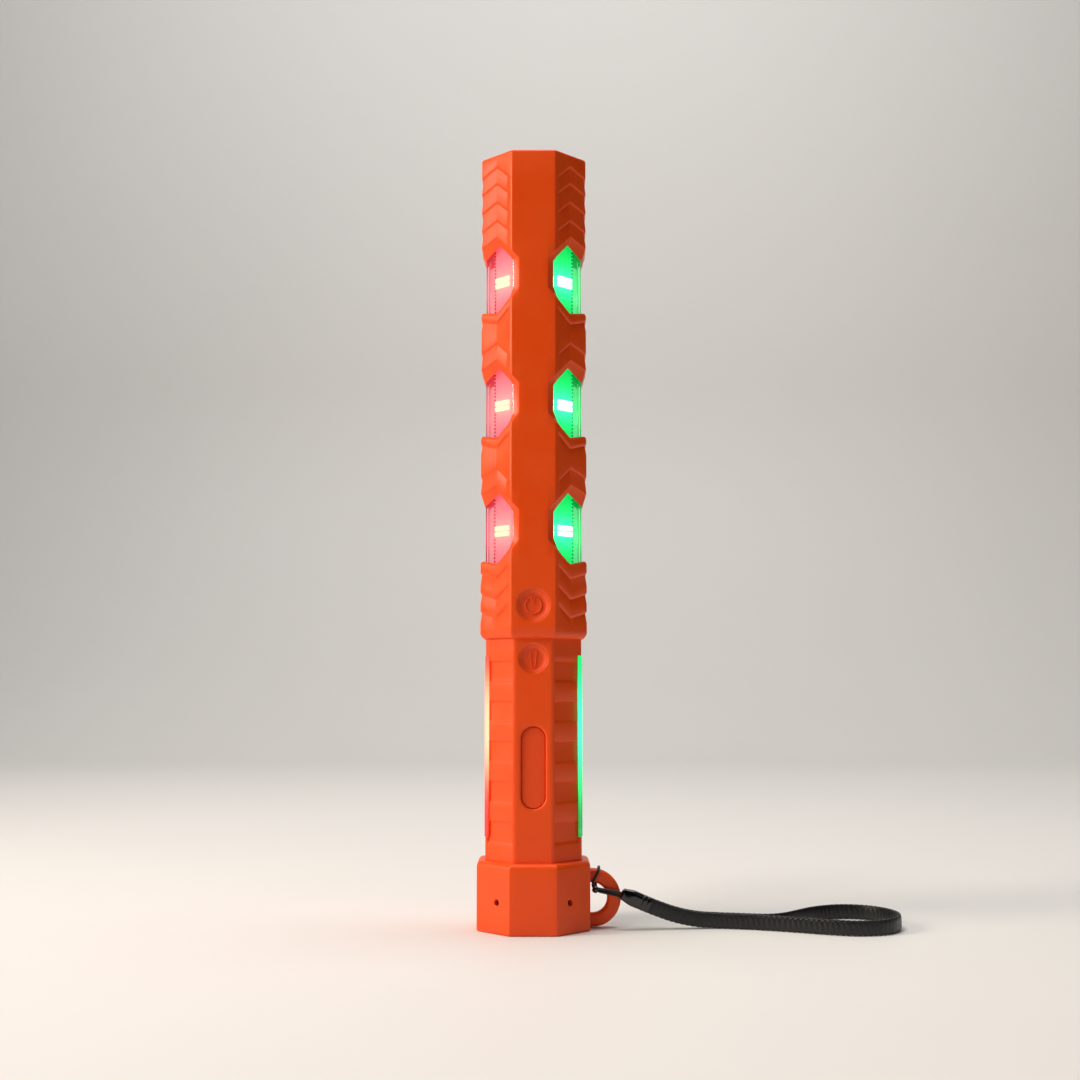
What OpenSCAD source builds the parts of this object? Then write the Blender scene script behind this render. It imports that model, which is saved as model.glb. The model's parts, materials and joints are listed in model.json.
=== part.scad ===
// Traffic baton light: an octagonal signal wand with six lit windows, a ribbed grip, two push
// buttons, a torch in its top end and a wrist strap. Millimetres. +Z is up, the side with the
// buttons faces -Y and the strap ring is at +X. The origin is the middle of the base's underside.

/* [Barrel] */
// Height of the whole light
total_h = 310; // [308:1:316]
// Width of the barrel across two opposite flats
barrel_across = 42.4; // [42:0.1:43]
// Height at which the barrel ends and the grip begins
barrel_foot = 113.5; // [112:0.5:115]
// Thickness of the barrel sleeve
sleeve_wall = 1.85; // [1.6:0.05:2]
// Height of the top window's peak
window_peak = 275.6; // [274:0.2:277]
// Distance from one window to the next below it
window_pitch = 50.6; // [50:0.2:51]
// Height of a window from its lower corner to its peak
window_h = 31.4; // [30:0.2:32]
// How far each window reaches onto the front and back faces
notch_w = 2.8; // [2:0.1:3.5]

/* [Lights] */
// Width of the clear barrel tube across its flats
lens_across = 38.4; // [38.2:0.1:38.5]
// Wall of the clear barrel tube
lens_wall = 1.8; // [1.5:0.1:1.9]
// Width of each light board
light_board_w = 10; // [8:0.5:11]

/* [Grip] */
// Width of the grip across two opposite flats
grip_across = 37.9; // [37.5:0.1:38]
// Wall of the grip's shells
grip_wall = 2.4; // [2.2:0.1:2.5]
// Height of the grip's lowest groove, at its lower edge
groove_foot = 34.3; // [34:0.1:35]
// Distance from one grip groove to the next
groove_pitch = 15.7; // [15.5:0.1:15.8]
// Height of each grip groove
groove_h = 8.1; // [7:0.1:8.5]
// Depth of each grip groove
groove_depth = 0.7; // [0.4:0.1:0.9]

/* [Buttons] */
// Diameter of the power button
power_d = 12.4; // [12:0.1:12.6]
// Height of the power button's middle
power_z = 126.4; // [126:0.1:127]
// Diameter of the torch button
torch_d = 10.9; // [10.5:0.1:11]
// Height of the torch button's middle
torch_z = 105.6; // [105:0.1:106]

/* [Charging] */
// Width of the charging cover
cover_w = 9.3; // [9:0.1:9.5]
// Height at which the charging cover's lower end sits
cover_foot = 47.7; // [47:0.1:48]
// Length of the charging cover
cover_h = 31.6; // [31:0.1:32]

/* [Base] */
// Width of the base cap across two opposite flats
base_across = 44.4; // [44:0.1:45]
// Height of the base cap
base_h = 27; // [26.5:0.5:27.5]
// Outer radius of the strap ring
ring_r = 11.35; // [11:0.05:11.4]
// Radius of the hole in the strap ring
ring_hole_r = 5.9; // [5.5:0.1:6]
// Thickness of the strap ring
ring_t = 4.6; // [4.4:0.1:4.6]
// Bevel along the strap ring's edges
ring_bevel = 1.5; // [1.4:0.1:1.7]

/* [Strap] */
// Diameter of the thin string on the ring
string_d = 1.15; // [1:0.05:1.15]
// Width of the braided band
web_w = 6; // [5.5:0.1:6]
// Thickness of the braided band
web_t = 1.9; // [1.6:0.1:1.9]

/* [Hidden] */

$fn = 64;
front = -90;                              // direction of the front face
front_right = -45;
back_right = 45;
back_left = 135;
front_left = -135;
gap = 0.05;                               // clearance between pieces that are fixed together
reach = 30;                               // long enough to cut through any wall

barrel_half_face = barrel_across / 2 * tan(22.5);
sleeve_inner = barrel_across - 2 * sleeve_wall;
window_count = 3;
peak_to_front_corner = 7.5;               // a window's top edge falls this far to the front corner
peak_to_notch = 10.3;                     // and this far to the notch in the front face
peak_to_side = 3;                         // and this far to the side face
notch_bottom = 21.6;                      // the notch's lower end, below the peak
corner_bottom = 25.2;                     // the lower edge at the front corner, below the peak
side_rise = 1.5;                          // the lower edge's rise from its corner to the side face

spigot_top = 119.5;
spigot_across = sleeve_inner - 2 * gap;
foot_across = 38.2;
foot_z = 6.2;
grip_inner = grip_across - 2 * grip_wall;
grip_front = -grip_across / 2;
strip_z = [36, 107];                      // the clear side strips run between these heights
strip_seat = 17.5;                        // how far out the shells' seats for the strips are
strip_across = 38.5;                      // the strips' outer faces follow an octagon this wide
strip_window = 4;                         // half the width of the slots behind the strips

collar_z = [133.4, 137];
lens_z = [137, 306];
lens_inner = lens_across - 2 * lens_wall;
core_across = 29.8;
light_board_r = core_across / 2 + gap;
light_board_t = 1.55;
light_board_z = [140, 288];
led_drop = 18.1;                          // from a window's peak down to its lights
led_size = [0.75, 7.8, 1.8];
led_step = 2.3;

board_y = -11.8;                          // front of the control board
board_t = 1.6;
board_z = [34, 132.8];
board_w = 16;
board_screw_places = [[-6, 40], [6, 40], [-6, 116], [6, 116]];
dish_depth = 1;                           // the buttons' hollow faces
sign_h = 0.35;                            // height of the raised signs on them
stem_end = -15.3;                         // leaves the buttons 0.6 to travel
socket_z = 70;
cover_face = -18.1;
cover_t = 1.45;
cover_crease = 52.3;                      // the flap bends here
recess_floor = cover_face + cover_t + gap;

cell_d = 18.4;
cell_z = [30, 95];
cell_y = 3.5;

base_floor = 6.1;
base_screw_z = 12;
base_screw_shift = 2;
ring_x = 23.2;
ring_z = 11.7;
ring_root = 19.2;

// The string's route: from the clamp to the ring, once round its upper limb, and back
string_route = [
    [36.2, -4.8, 13.3], [33, -4.6, 14.3], [29.5, -4.4, 14.9], [26.4, -4.2, 15.4],
    [24, -4, 15.9], [23.4, -3.6, 17.2], [24, -3.25, 19.1], [24.8, -3.15, 20.6],
    [25.5, -2.75, 22], [25.8, -1.6, 23.1], [25.9, 0, 23.5], [25.9, 1.6, 23.1],
    [25.8, 2.75, 22], [25.5, 3.15, 20.6], [25.2, 3.15, 19.5], [24.9, 2.75, 18],
    [24.7, 1.6, 16.9], [24.6, 0.2, 16.35], [24.7, -1.4, 15.9], [25.1, -2.9, 15.1],
    [26, -3.9, 14.5], [27.8, -4.3, 14.1], [30.2, -4.4, 13.6], [33, -4.6, 13],
    [36.2, -4.8, 11.9]];

// The band's route: out of the clamp along the far strand, round the loop and back
web_route = [
    [45.4, -3.7, 9.3], [49, -3.4, 7.9], [54, -2.9, 6.1], [60, -2.2, 4.5], [66, -1.3, 3.5],
    [73, -1.1, 3.1], [80, -2.4, 3.05], [87, -4.1, 3.05], [93, -4.5, 3.05], [99, -1.6, 3.05],
    [105, 4.9, 3.05], [111, 11.8, 3.05], [118, 17.4, 3.05], [126, 20.3, 3.05],
    [134, 18.8, 3.05], [140, 13.5, 3.05], [143.4, 6.3, 3.05], [144.2, -1.5, 3.05],
    [142.3, -9.5, 3.05], [138, -16.2, 3.05], [131, -20.3, 3.05], [122.5, -21, 3.05],
    [114, -18.4, 3.05], [105, -14.1, 3.05], [96, -10, 3.05], [87, -6.5, 3.05],
    [80, -4.7, 3.05], [73, -3.4, 3.1], [66, -3.6, 3.5], [60, -4.5, 4.5], [54, -5.2, 6.1],
    [49, -5.7, 7.9], [45.4, -6, 9.3]];
ferrule_mid = [40.4, -4.85, 11.4];
ferrule_size = [13, 4.8, 6.3];
ferrule_tilt = 22.6;
bead_mid = [24.4, -3.9, 15.2];
bead_d = 2.8;

// ---------------------------------------------------------------- shared shapes

// A regular octagon with a flat side towards each axis
module octagon(across) {
    rotate(22.5) circle(r = across / 2 / cos(22.5), $fn = 8);
}

module prism(across, z0, z1) {
    translate([0, 0, z0]) linear_extrude(z1 - z0) octagon(across);
}

// An octagonal block with a bevel round its lower and upper edges
module bevelled_prism(across, z0, z1, low, high) {
    h = across / 2;
    side_view = [[low - h, z0], [h - low, z0], [h, z0 + low], [h, z1 - high],
        [h - high, z1], [high - h, z1], [-h, z1 - high], [-h, z0 + low]];
    intersection_for(turn = [0, 45, 90, 135]) rotate([0, 0, turn]) rotate([90, 0, 0])
        linear_extrude(2 * reach, center = true) polygon(side_view);
}

// Lays a flat outline on the face that looks in the given direction: the outline's first axis
// runs round the body, its second runs up, and it is thickened from radius r0 to r1
module on_face(direction, r0, r1) {
    rotate([0, 0, direction]) translate([r0, 0, 0]) rotate([90, 0, 90])
        linear_extrude(r1 - r0) children();
}

// A straight bar with round ends, standing upright from height z0 to z1
module obround(w, z0, z1) {
    translate([0, z0 + w / 2]) circle(d = w);
    translate([0, z1 - w / 2]) circle(d = w);
    translate([-w / 2, z0 + w / 2]) square([w, z1 - z0 - w]);
}

// A cylinder along Y from y0 to y1
module peg(d, x, z, y0, y1) {
    translate([x, y0, z]) rotate([-90, 0, 0]) cylinder(d = d, h = y1 - y0);
}

// A block between two opposite corners
module block(a, b) {
    translate(a) cube(b - a);
}

function unit(v) = v / norm(v);
function tangent(p, i) = unit(p[min(i + 1, len(p) - 1)] - p[max(i - 1, 0)]);
function spline(a, b, c, d, t) =
    0.5 * (2 * b + (c - a) * t + (2 * a - 5 * b + 4 * c - d) * t * t
        + (3 * b - a - 3 * c + d) * t * t * t);
// A smooth path through the points, with k steps from each to the next
function smooth(p, k) = concat(
    [for (i = [0 : len(p) - 2]) for (s = [0 : k - 1])
        spline(p[max(i - 1, 0)], p[i], p[i + 1], p[min(i + 2, len(p) - 1)], s / k)],
    [p[len(p) - 1]]);
// One ring of section points round a path point; away is a direction the path never takes
function ring_at(p, i, section, away) =
    let (t = tangent(p, i), side = unit(cross(t, away)), up = cross(side, t))
        [for (q = section) p[i] + q[0] * side + q[1] * up];
function round_section(r, n) = [for (a = [0 : n - 1]) r * [cos(360 * a / n), sin(360 * a / n)]];

// Sweeps a section along a path into one closed solid
module sweep(path, section, away) {
    n = len(section);
    m = len(path);
    polyhedron(
        points = [for (i = [0 : m - 1]) each ring_at(path, i, section, away)],
        faces = concat(
            [[for (i = [n - 1 : -1 : 0]) i]],
            [for (j = [0 : m - 2]) for (i = [0 : n - 1])
                each [[j * n + i, j * n + (i + 1) % n, (j + 1) * n + (i + 1) % n],
                    [j * n + i, (j + 1) * n + (i + 1) % n, (j + 1) * n + i]]],
            [[for (i = [0 : n - 1]) (m - 1) * n + i]]));
}

// ---------------------------------------------------------------- barrel

// One window of the right-hand side, as cutting blocks on the five faces that it wraps
module window_cut(peak) {
    h = barrel_half_face + 0.02;
    low = peak - window_h;
    notch = [[h - notch_w, peak - peak_to_notch], [h, peak - peak_to_front_corner],
        [h, peak - corner_bottom], [h - notch_w, peak - notch_bottom]];
    slope = [[-h, peak - peak_to_front_corner], [0, peak], [h, peak - peak_to_side],
        [h, low + side_rise], [0, low], [-h, peak - corner_bottom]];
    side_h = window_h - peak_to_side - side_rise;
    for (back = [0, 1]) mirror([0, back, 0]) {
        on_face(front, sleeve_inner / 2 - 1, reach) polygon(notch);
        on_face(front_right, sleeve_inner / 2 - 1, reach) polygon(slope);
    }
    on_face(0, sleeve_inner / 2 - 1, reach) translate([-h, low + side_rise])
        square([2 * h, side_h]);
}

module barrel_sleeve() {
    color("orangered") difference() {
        bevelled_prism(barrel_across, barrel_foot, total_h, 2.2, 1);
        prism(sleeve_inner, barrel_foot - 1, total_h + 1);
        for (i = [0 : window_count - 1]) for (left = [0, 1])
            mirror([left, 0, 0]) window_cut(window_peak - i * window_pitch);
        peg(power_d + 0.1, 0, power_z, -reach, 0);
    }
}

module barrel_lens() {
    color("lightcyan") difference() {
        prism(lens_across, lens_z[0], lens_z[1]);
        prism(lens_inner, lens_z[0] - 1, lens_z[1] + 1);
    }
}

module barrel_collar() {
    color("dimgray") difference() {
        prism(lens_across, collar_z[0], collar_z[1] - gap);
        translate([0, 0, collar_z[0] - 1]) cylinder(d = 25, h = 10);
    }
}

module led_core() {
    color("whitesmoke") difference() {
        prism(core_across, lens_z[0], light_board_z[1] + 1.9);
        translate([0, 0, lens_z[0] - 1]) cylinder(d = 24, h = 200);
    }
}

module light_board(direction) {
    color("white") rotate([0, 0, direction])
        block([light_board_r, -light_board_w / 2, light_board_z[0]],
            [light_board_r + light_board_t, light_board_w / 2, light_board_z[1]]);
}

// Two long lights behind each window, one above the other
module lights(direction, tint) {
    r = light_board_r + light_board_t;
    color(tint) rotate([0, 0, direction])
        for (i = [0 : window_count - 1]) for (k = [-0.5, 0.5])
            translate([r + led_size[0] / 2, 0, window_peak - led_drop - i * window_pitch + k * led_step])
                cube(led_size, center = true);
}

module led_board_front_left() { light_board(front_left); }
module led_board_back_left() { light_board(back_left); }
module led_board_front_right() { light_board(front_right); }
module led_board_back_right() { light_board(back_right); }
module leds_front_left() { lights(front_left, "red"); }
module leds_back_left() { lights(back_left, "red"); }
module leds_front_right() { lights(front_right, "lime"); }
module leds_back_right() { lights(back_right, "lime"); }

// ---------------------------------------------------------------- torch in the top end

module torch_bezel() {
    color("black") difference() {
        prism(lens_across - 0.1, lens_z[1], total_h - 0.8);
        translate([0, 0, lens_z[1] - 1]) cylinder(d = 29.5, h = 10);
    }
}

module torch_gasket() {
    color("black") translate([0, 0, lens_z[1] - 0.75]) difference() {
        cylinder(d = 33.6, h = 0.7);
        translate([0, 0, -1]) cylinder(d = 30, h = 3);
    }
}

module torch_lens() {
    color("lightcyan") translate([0, 0, lens_z[1] - 2]) cylinder(d = 33.6, h = 1.2);
}

// A parabolic bowl with its lamp at the bottom
module torch_reflector() {
    foot = light_board_z[1] + 3.4;
    radii = [for (k = [0 : 8]) 3.8 + k * 1.475];
    inner = [for (r = radii) [r, foot + r * r / 19.8]];
    outer = [for (k = [8 : -1 : 0]) inner[k] + [0.9, 0]];
    color("silver") rotate_extrude() polygon(concat(inner, outer));
}

module torch_board() {
    color("white") translate([0, 0, light_board_z[1] + 2]) cylinder(d = 30, h = 1.8);
}

module torch_led() {
    color("lightyellow") translate([0, 0, light_board_z[1] + 3.8]) {
        cylinder(d = 5, h = 0.8);
        cylinder(d = 3.2, h = 1.8);
    }
}

// ---------------------------------------------------------------- grip

// The grip as one octagonal tube: a foot in the base cap, the ribbed grip, a spigot in the barrel
module grip_tube() {
    difference() {
        union() {
            prism(foot_across, foot_z, base_h);
            prism(grip_across, base_h, barrel_foot);
            prism(spigot_across, barrel_foot, spigot_top);
        }
        prism(grip_inner, foot_z - 1, spigot_top + 1);
        for (direction = [front_left, front_right, back_left, back_right]) for (i = [0 : 4])
            rotate([0, 0, direction])
                block([grip_across / 2 - groove_depth, -6.6, groove_foot + i * groove_pitch],
                    [reach, 6.6, groove_foot + i * groove_pitch + groove_h]);
        for (side = [0, 1]) mirror([side, 0, 0]) {
            block([strip_seat, -reach, strip_z[0]], [reach, reach, strip_z[1]]);
            block([0, -strip_window, strip_z[0] + 3], [reach, strip_window, strip_z[1] - 3]);
        }
        base_screw_holes();
    }
}

module base_screw_holes() {
    for (side = [0, 1]) for (back = [0, 1]) mirror([side, 0, 0]) mirror([0, back, 0])
        rotate([0, 0, front_right]) translate([10, -base_screw_shift, base_screw_z])
            rotate([0, 90, 0]) cylinder(d = 2.5, h = reach);
}

module front_half() { block([-reach, -reach, 0], [reach, -gap / 2, total_h]); }
module back_half() { block([-reach, gap / 2, 0], [reach, reach, total_h]); }

module handle_front_shell() {
    color("orangered") difference() {
        union() {
            intersection() {
                grip_tube();
                front_half();
            }
            block([-6.5, recess_floor - 0.8, cover_foot - 2.5],
                [6.5, -15.2, cover_foot + cover_h + 2.5]);
            for (p = board_screw_places) peg(4, p[0], p[1], grip_front + 1, board_y - gap);
        }
        on_face(front, -recess_floor, reach) obround(cover_w + 0.2, cover_foot - 0.1,
            cover_foot + cover_h + 0.1);
        block([-4.6, -reach, socket_z - 1.8], [4.6, -10, socket_z + 1.8]);
        peg(2.5, 0, cover_foot + 2.3, -reach, 0);
        peg(torch_d + 0.1, 0, torch_z, -reach, 0);
        for (p = board_screw_places) peg(2, p[0], p[1], board_y - 3, 0);
    }
}

module handle_back_shell() {
    color("orangered") intersection() {
        grip_tube();
        back_half();
    }
}

// A long clear strip that closes the grip's side, with a rib in the slot behind it
module handle_lens(side) {
    color("lightcyan") mirror([side, 0, 0]) {
        intersection() {
            prism(strip_across, strip_z[0] + gap, strip_z[1] - gap);
            block([strip_seat + gap, -reach, 0], [reach, reach, total_h]);
        }
        block([grip_inner / 2, gap - strip_window, strip_z[0] + 3 + gap],
            [strip_seat + 1, strip_window - gap, strip_z[1] - 3 - gap]);
    }
}

module handle_strip(side) {
    color("white") mirror([side, 0, 0])
        block([13, -3.5, strip_z[0]], [14, 3.5, strip_z[1]]);
}

module handle_leds(side, tint) {
    color(tint) mirror([side, 0, 0]) for (i = [0 : 8])
        block([14, -1.7, strip_z[0] + 3 + i * 8], [14.8, 1.7, strip_z[0] + 5.8 + i * 8]);
}

module handle_lens_left() { handle_lens(1); }
module handle_lens_right() { handle_lens(0); }
module handle_strip_left() { handle_strip(1); }
module handle_strip_right() { handle_strip(0); }
module handle_leds_left() { handle_leds(1, "red"); }
module handle_leds_right() { handle_leds(0, "lime"); }

// ---------------------------------------------------------------- buttons and electronics

// A round button: a dished face, a flange that keeps it in its hole, and a stem
module button(d, z, face, wall_back) {
    difference() {
        union() {
            peg(d, 0, z, face, wall_back + 0.5);
            peg(d + 1.2, 0, z, wall_back + gap, wall_back + 0.85);
            peg(4.4, 0, z, wall_back, stem_end);
        }
        peg(d - 1.6, 0, z, face - 1, face + dish_depth);
    }
}

// The raised sign of a broken circle with an upright bar
module power_button() {
    face = -barrel_across / 2 + 0.1;
    color("orangered") {
        button(power_d, power_z, face, -sleeve_inner / 2);
        translate([0, face + dish_depth + gap, power_z]) rotate([90, 0, 0])
            linear_extrude(sign_h + gap) {
            difference() {
                circle(d = 6.7);
                circle(d = 5.1);
                translate([-1.2, 0]) square([2.4, 5]);
            }
            translate([-0.4, 0.4]) square([0.8, 3.6]);
        }
    }
}

// The raised sign of a small torch: a bar with a wider head
module torch_button() {
    face = grip_front + 0.1;
    color("orangered") {
        button(torch_d, torch_z, face, -grip_inner / 2);
        translate([0, face + dish_depth + gap, torch_z]) rotate([90, 0, 0])
            linear_extrude(sign_h + gap) polygon([[-0.75, -3.6], [0.75, -3.6], [0.75, 1.4], [1.2, 2.2], [1.2, 3.6],
                [-1.2, 3.6], [-1.2, 2.2], [-0.75, 1.4]]);
    }
}

module push_switch(z) {
    color("silver") block([-3.1, board_y - 2, z - 3.1], [3.1, board_y - gap, z + 3.1]);
    color("black") peg(3, 0, z, board_y - 2.8, board_y - 1.9);
}

module power_switch() { push_switch(power_z); }
module torch_switch() { push_switch(torch_z); }

// The flap of the charging cover, with the tongue that plugs the socket's hole
module port_cover() {
    color("orangered") {
        intersection() {
            on_face(front, -recess_floor + gap, -cover_face)
                obround(cover_w, cover_foot, cover_foot + cover_h);
            block([-reach, -reach, cover_crease + 0.1], [reach, 0, total_h]);
        }
        block([-3.9, recess_floor - 0.5, socket_z - 1.1], [3.9, -15.7, socket_z + 1.1]);
    }
}

// The end of the charging cover that is pinned to the grip
module port_cover_root() {
    color("orangered") {
        intersection() {
            on_face(front, -recess_floor + gap, -cover_face)
                obround(cover_w, cover_foot, cover_foot + cover_h);
            block([-reach, -reach, 0], [reach, 0, cover_crease]);
        }
        peg(2.4, 0, cover_foot + 2.3, recess_floor - 0.5, -15.3);
    }
}

module charge_socket() {
    back = board_y - gap;
    color("silver") difference() {
        block([-4.5, -15.1, socket_z - 1.6], [4.5, back, socket_z + 1.6]);
        block([-4.15, -16, socket_z - 1.25], [4.15, back - 0.5, socket_z + 1.25]);
    }
    color("black") block([-3.3, -14.5, socket_z - 0.35], [3.3, back - 0.2, socket_z + 0.35]);
}

module control_board() {
    color("green") difference() {
        block([-board_w / 2, board_y, board_z[0]], [board_w / 2, board_y + board_t, board_z[1]]);
        for (p = board_screw_places) peg(2.2, p[0], p[1], -20, 0);
    }
}

module board_screws() {
    back = board_y + board_t + gap;
    color("silver") for (p = board_screw_places) difference() {
        union() {
            peg(3.8, p[0], p[1], back, back + 1.3);
            peg(1.9, p[0], p[1], board_y - 2.6, back + 0.5);
        }
        translate([p[0] - 1.4, back + 0.8, p[1] - 0.25]) cube([2.8, 1, 0.5]);
    }
}

module battery_cell() {
    color("steelblue") translate([0, cell_y, cell_z[0]]) {
        cylinder(d = cell_d, h = cell_z[1] - cell_z[0] - 1);
        cylinder(d = 6, h = cell_z[1] - cell_z[0]);
    }
}

module battery_cradle() {
    r = cell_d / 2 + 0.15;
    z0 = cell_z[0] - 4.4;
    z1 = cell_z[1] + 3.6;
    color("dimgray") translate([0, cell_y, 0]) {
        intersection() {
            difference() {
                translate([0, 0, z0]) cylinder(r = r + 1.3, h = z1 - z0);
                translate([0, 0, z0 - 1]) cylinder(r = r, h = z1 - z0 + 2);
            }
            block([-reach, 1, 0], [reach, reach, total_h]);
        }
        for (z = [z0, z1 - 1.4]) translate([0, 0, z]) cylinder(r = r + 1.3, h = 1.4);
        block([-2, r + 1, z0], [2, 12.9, z1]);
    }
}

// A conical coil that presses the cell up against its contact
module battery_spring() {
    turns = 2.5;
    steps = 30;
    path = [for (i = [0 : steps]) let (t = i / steps, r = 6.5 - 2.5 * t, a = 360 * turns * t)
        [r * cos(a), cell_y + r * sin(a), cell_z[0] - 2.45 + 2 * t]];
    color("silver") sweep(path, round_section(0.4, 6), [0, 0, 1]);
}

module battery_contact() {
    color("gold") translate([0, cell_y, cell_z[1] + gap]) cylinder(d = 10, h = 2);
}

// The leads from the control board up the hollow stalk to the torch
module wires() {
    color("red") for (x = [-3, 3]) translate([x, -9.3, board_z[1] - 10])
        cylinder(d = 1.6, h = light_board_z[1] + 1.9 - board_z[1] + 10);
}

// ---------------------------------------------------------------- base

module base_cap() {
    flange_in = ring_root + 1.3;
    color("orangered") difference() {
        bevelled_prism(base_across, 0, base_h, 0.8, 2.1);
        prism(foot_across + 2 * gap, base_floor, base_h + 1);
        translate([0, 0, -1]) cylinder(d = 26, h = 5.6);
        base_screw_holes();
        block([foot_across / 2, -ring_t / 2 - gap, -1], [reach, ring_t / 2 + gap, ring_z * 2 - 0.1]);
        block([foot_across / 2, -4.05, 2.9], [flange_in, 4.05, base_h + 1]);
    }
}

module base_screws() {
    color("dimgray") for (side = [0, 1]) for (back = [0, 1])
        mirror([side, 0, 0]) mirror([0, back, 0]) rotate([0, 0, front_right])
            translate([17, -base_screw_shift, base_screw_z]) rotate([0, 90, 0]) difference() {
                cylinder(d = 2.4, h = 3.6);
                translate([0, 0, 2.4]) cylinder(d = 1.3, h = 3, $fn = 6);
            }
}

module base_magnet() {
    color("silver") translate([0, 0, 1.25]) difference() {
        cylinder(d = 25.4, h = 3.2);
        translate([0, 0, -1]) cylinder(d = 8, h = 6);
    }
}

module base_pad() {
    color("black") cylinder(d = 25.8, h = 1.2);
}

// ---------------------------------------------------------------- strap

// A flat loop with bevelled edges, whose root is flanged behind the base cap's wall
module strap_ring() {
    r0 = ring_hole_r;
    r1 = ring_r;
    h = ring_t / 2;
    b = ring_bevel;
    profile = [[r0, b - h], [r0 + b, -h], [r1 - b, -h], [r1, b - h],
        [r1, h - b], [r1 - b, h], [r0 + b, h], [r0, h - b]];
    color("orangered") {
        intersection() {
            translate([ring_x, 0, ring_z]) rotate([90, 0, 0]) rotate_extrude() polygon(profile);
            block([ring_root, -h, 0], [60, h, 30]);
        }
        intersection() {
            translate([ring_x, h, ring_z]) rotate([90, 0, 0]) cylinder(r = r1 - b, h = ring_t);
            block([ring_root, -h, 0], [base_across / 2, h, 30]);
        }
        block([ring_root, -4, 3], [ring_root + 1.2, 4, 20.5]);
    }
}

module strap_string() {
    color("black") sweep(string_route, round_section(string_d / 2, 8), [1, 1, 1]);
}

module strap_bead() {
    color("black") translate(bead_mid) sphere(d = bead_d, $fn = 32);
}

// A clamp that joins the string to the band
module strap_ferrule() {
    r = 1;
    color("black") translate(ferrule_mid) rotate([0, ferrule_tilt, 0]) difference() {
        hull() for (x = [-1, 1]) for (y = [-1, 1])
            translate([x * (ferrule_size[0] / 2 - r), y * (ferrule_size[1] / 2 - r),
                -ferrule_size[2] / 2]) cylinder(r = r, h = ferrule_size[2], $fn = 32);
        for (x = [-2.5, 2.5]) translate([x, -ferrule_size[1] / 2, 0])
            cube([0.5, 0.6, 10], center = true);
    }
}

// A flat braid on its edge, from the clamp, round a loop and back
module strap_webbing() {
    a = web_t / 2;
    b = web_w / 2;
    section = [[a, -b + 0.5], [a, b - 0.5], [a - 0.5, b], [-a + 0.5, b],
        [-a, b - 0.5], [-a, -b + 0.5], [-a + 0.5, -b], [a - 0.5, -b]];
    color("black") sweep(smooth(web_route, 2), section, [0, 0, 1]);
}

barrel_sleeve();
barrel_lens();
barrel_collar();
led_core();
led_board_front_left();
led_board_back_left();
led_board_front_right();
led_board_back_right();
leds_front_left();
leds_back_left();
leds_front_right();
leds_back_right();
torch_bezel();
torch_gasket();
torch_lens();
torch_reflector();
torch_board();
torch_led();
handle_front_shell();
handle_back_shell();
handle_lens_left();
handle_lens_right();
handle_strip_left();
handle_strip_right();
handle_leds_left();
handle_leds_right();
power_button();
torch_button();
power_switch();
torch_switch();
port_cover();
port_cover_root();
charge_socket();
control_board();
board_screws();
battery_cell();
battery_cradle();
battery_spring();
battery_contact();
wires();
base_cap();
base_screws();
base_magnet();
base_pad();
strap_ring();
strap_string();
strap_bead();
strap_ferrule();
strap_webbing();
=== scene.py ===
"""Looks of a traffic baton light: orange octagonal barrel with lit windows, ribbed grip, strap.

Lengths in the shape functions are millimetres; piece() turns them to metres. +Z is up, the side
with the buttons faces -Y and the strap loop is at +X.
"""
import json
import math

import bmesh
import bpy
import numpy as np
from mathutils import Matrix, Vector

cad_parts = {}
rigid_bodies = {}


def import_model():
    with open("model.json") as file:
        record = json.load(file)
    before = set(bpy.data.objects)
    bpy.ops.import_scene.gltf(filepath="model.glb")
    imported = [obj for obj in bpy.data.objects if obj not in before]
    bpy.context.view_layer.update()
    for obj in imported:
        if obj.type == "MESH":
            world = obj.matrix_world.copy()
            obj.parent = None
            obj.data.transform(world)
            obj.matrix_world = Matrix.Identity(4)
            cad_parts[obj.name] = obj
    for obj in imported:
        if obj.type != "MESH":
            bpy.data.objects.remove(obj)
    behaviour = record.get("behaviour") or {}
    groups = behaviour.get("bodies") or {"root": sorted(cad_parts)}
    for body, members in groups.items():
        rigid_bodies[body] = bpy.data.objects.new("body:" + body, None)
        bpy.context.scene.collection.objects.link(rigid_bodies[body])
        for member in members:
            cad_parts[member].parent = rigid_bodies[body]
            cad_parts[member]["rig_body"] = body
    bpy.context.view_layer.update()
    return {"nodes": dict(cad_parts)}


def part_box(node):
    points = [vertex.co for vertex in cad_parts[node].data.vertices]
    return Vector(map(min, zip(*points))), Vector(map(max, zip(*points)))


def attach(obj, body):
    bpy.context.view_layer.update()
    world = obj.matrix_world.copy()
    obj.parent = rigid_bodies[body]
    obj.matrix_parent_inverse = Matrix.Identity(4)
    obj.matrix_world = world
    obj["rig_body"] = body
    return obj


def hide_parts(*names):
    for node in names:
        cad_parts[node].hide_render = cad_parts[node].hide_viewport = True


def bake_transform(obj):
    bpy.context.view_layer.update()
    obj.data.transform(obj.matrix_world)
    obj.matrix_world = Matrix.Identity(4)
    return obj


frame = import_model()

MM = 0.001
TAU = 2 * math.pi
HALF_FACE = math.tan(math.radians(22.5))  # half a face of an octagon whose apothem is 1

# ---------------------------------------------------------------- camera

CAMERA_PLACE = (0.00255, -0.5861, 0.0954)
CAMERA_RISE = 5.71                       # degrees above level

camera_data = bpy.data.cameras.new("camera")
camera_data.lens = 48.33
camera_data.sensor_width = 36
camera = bpy.data.objects.new("camera", camera_data)
camera.location = CAMERA_PLACE
camera.rotation_euler = (math.radians(90 + CAMERA_RISE), 0, 0)
bpy.context.scene.collection.objects.link(camera)
bpy.context.scene.camera = camera
bpy.context.scene.view_settings.view_transform = "Standard"

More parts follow.
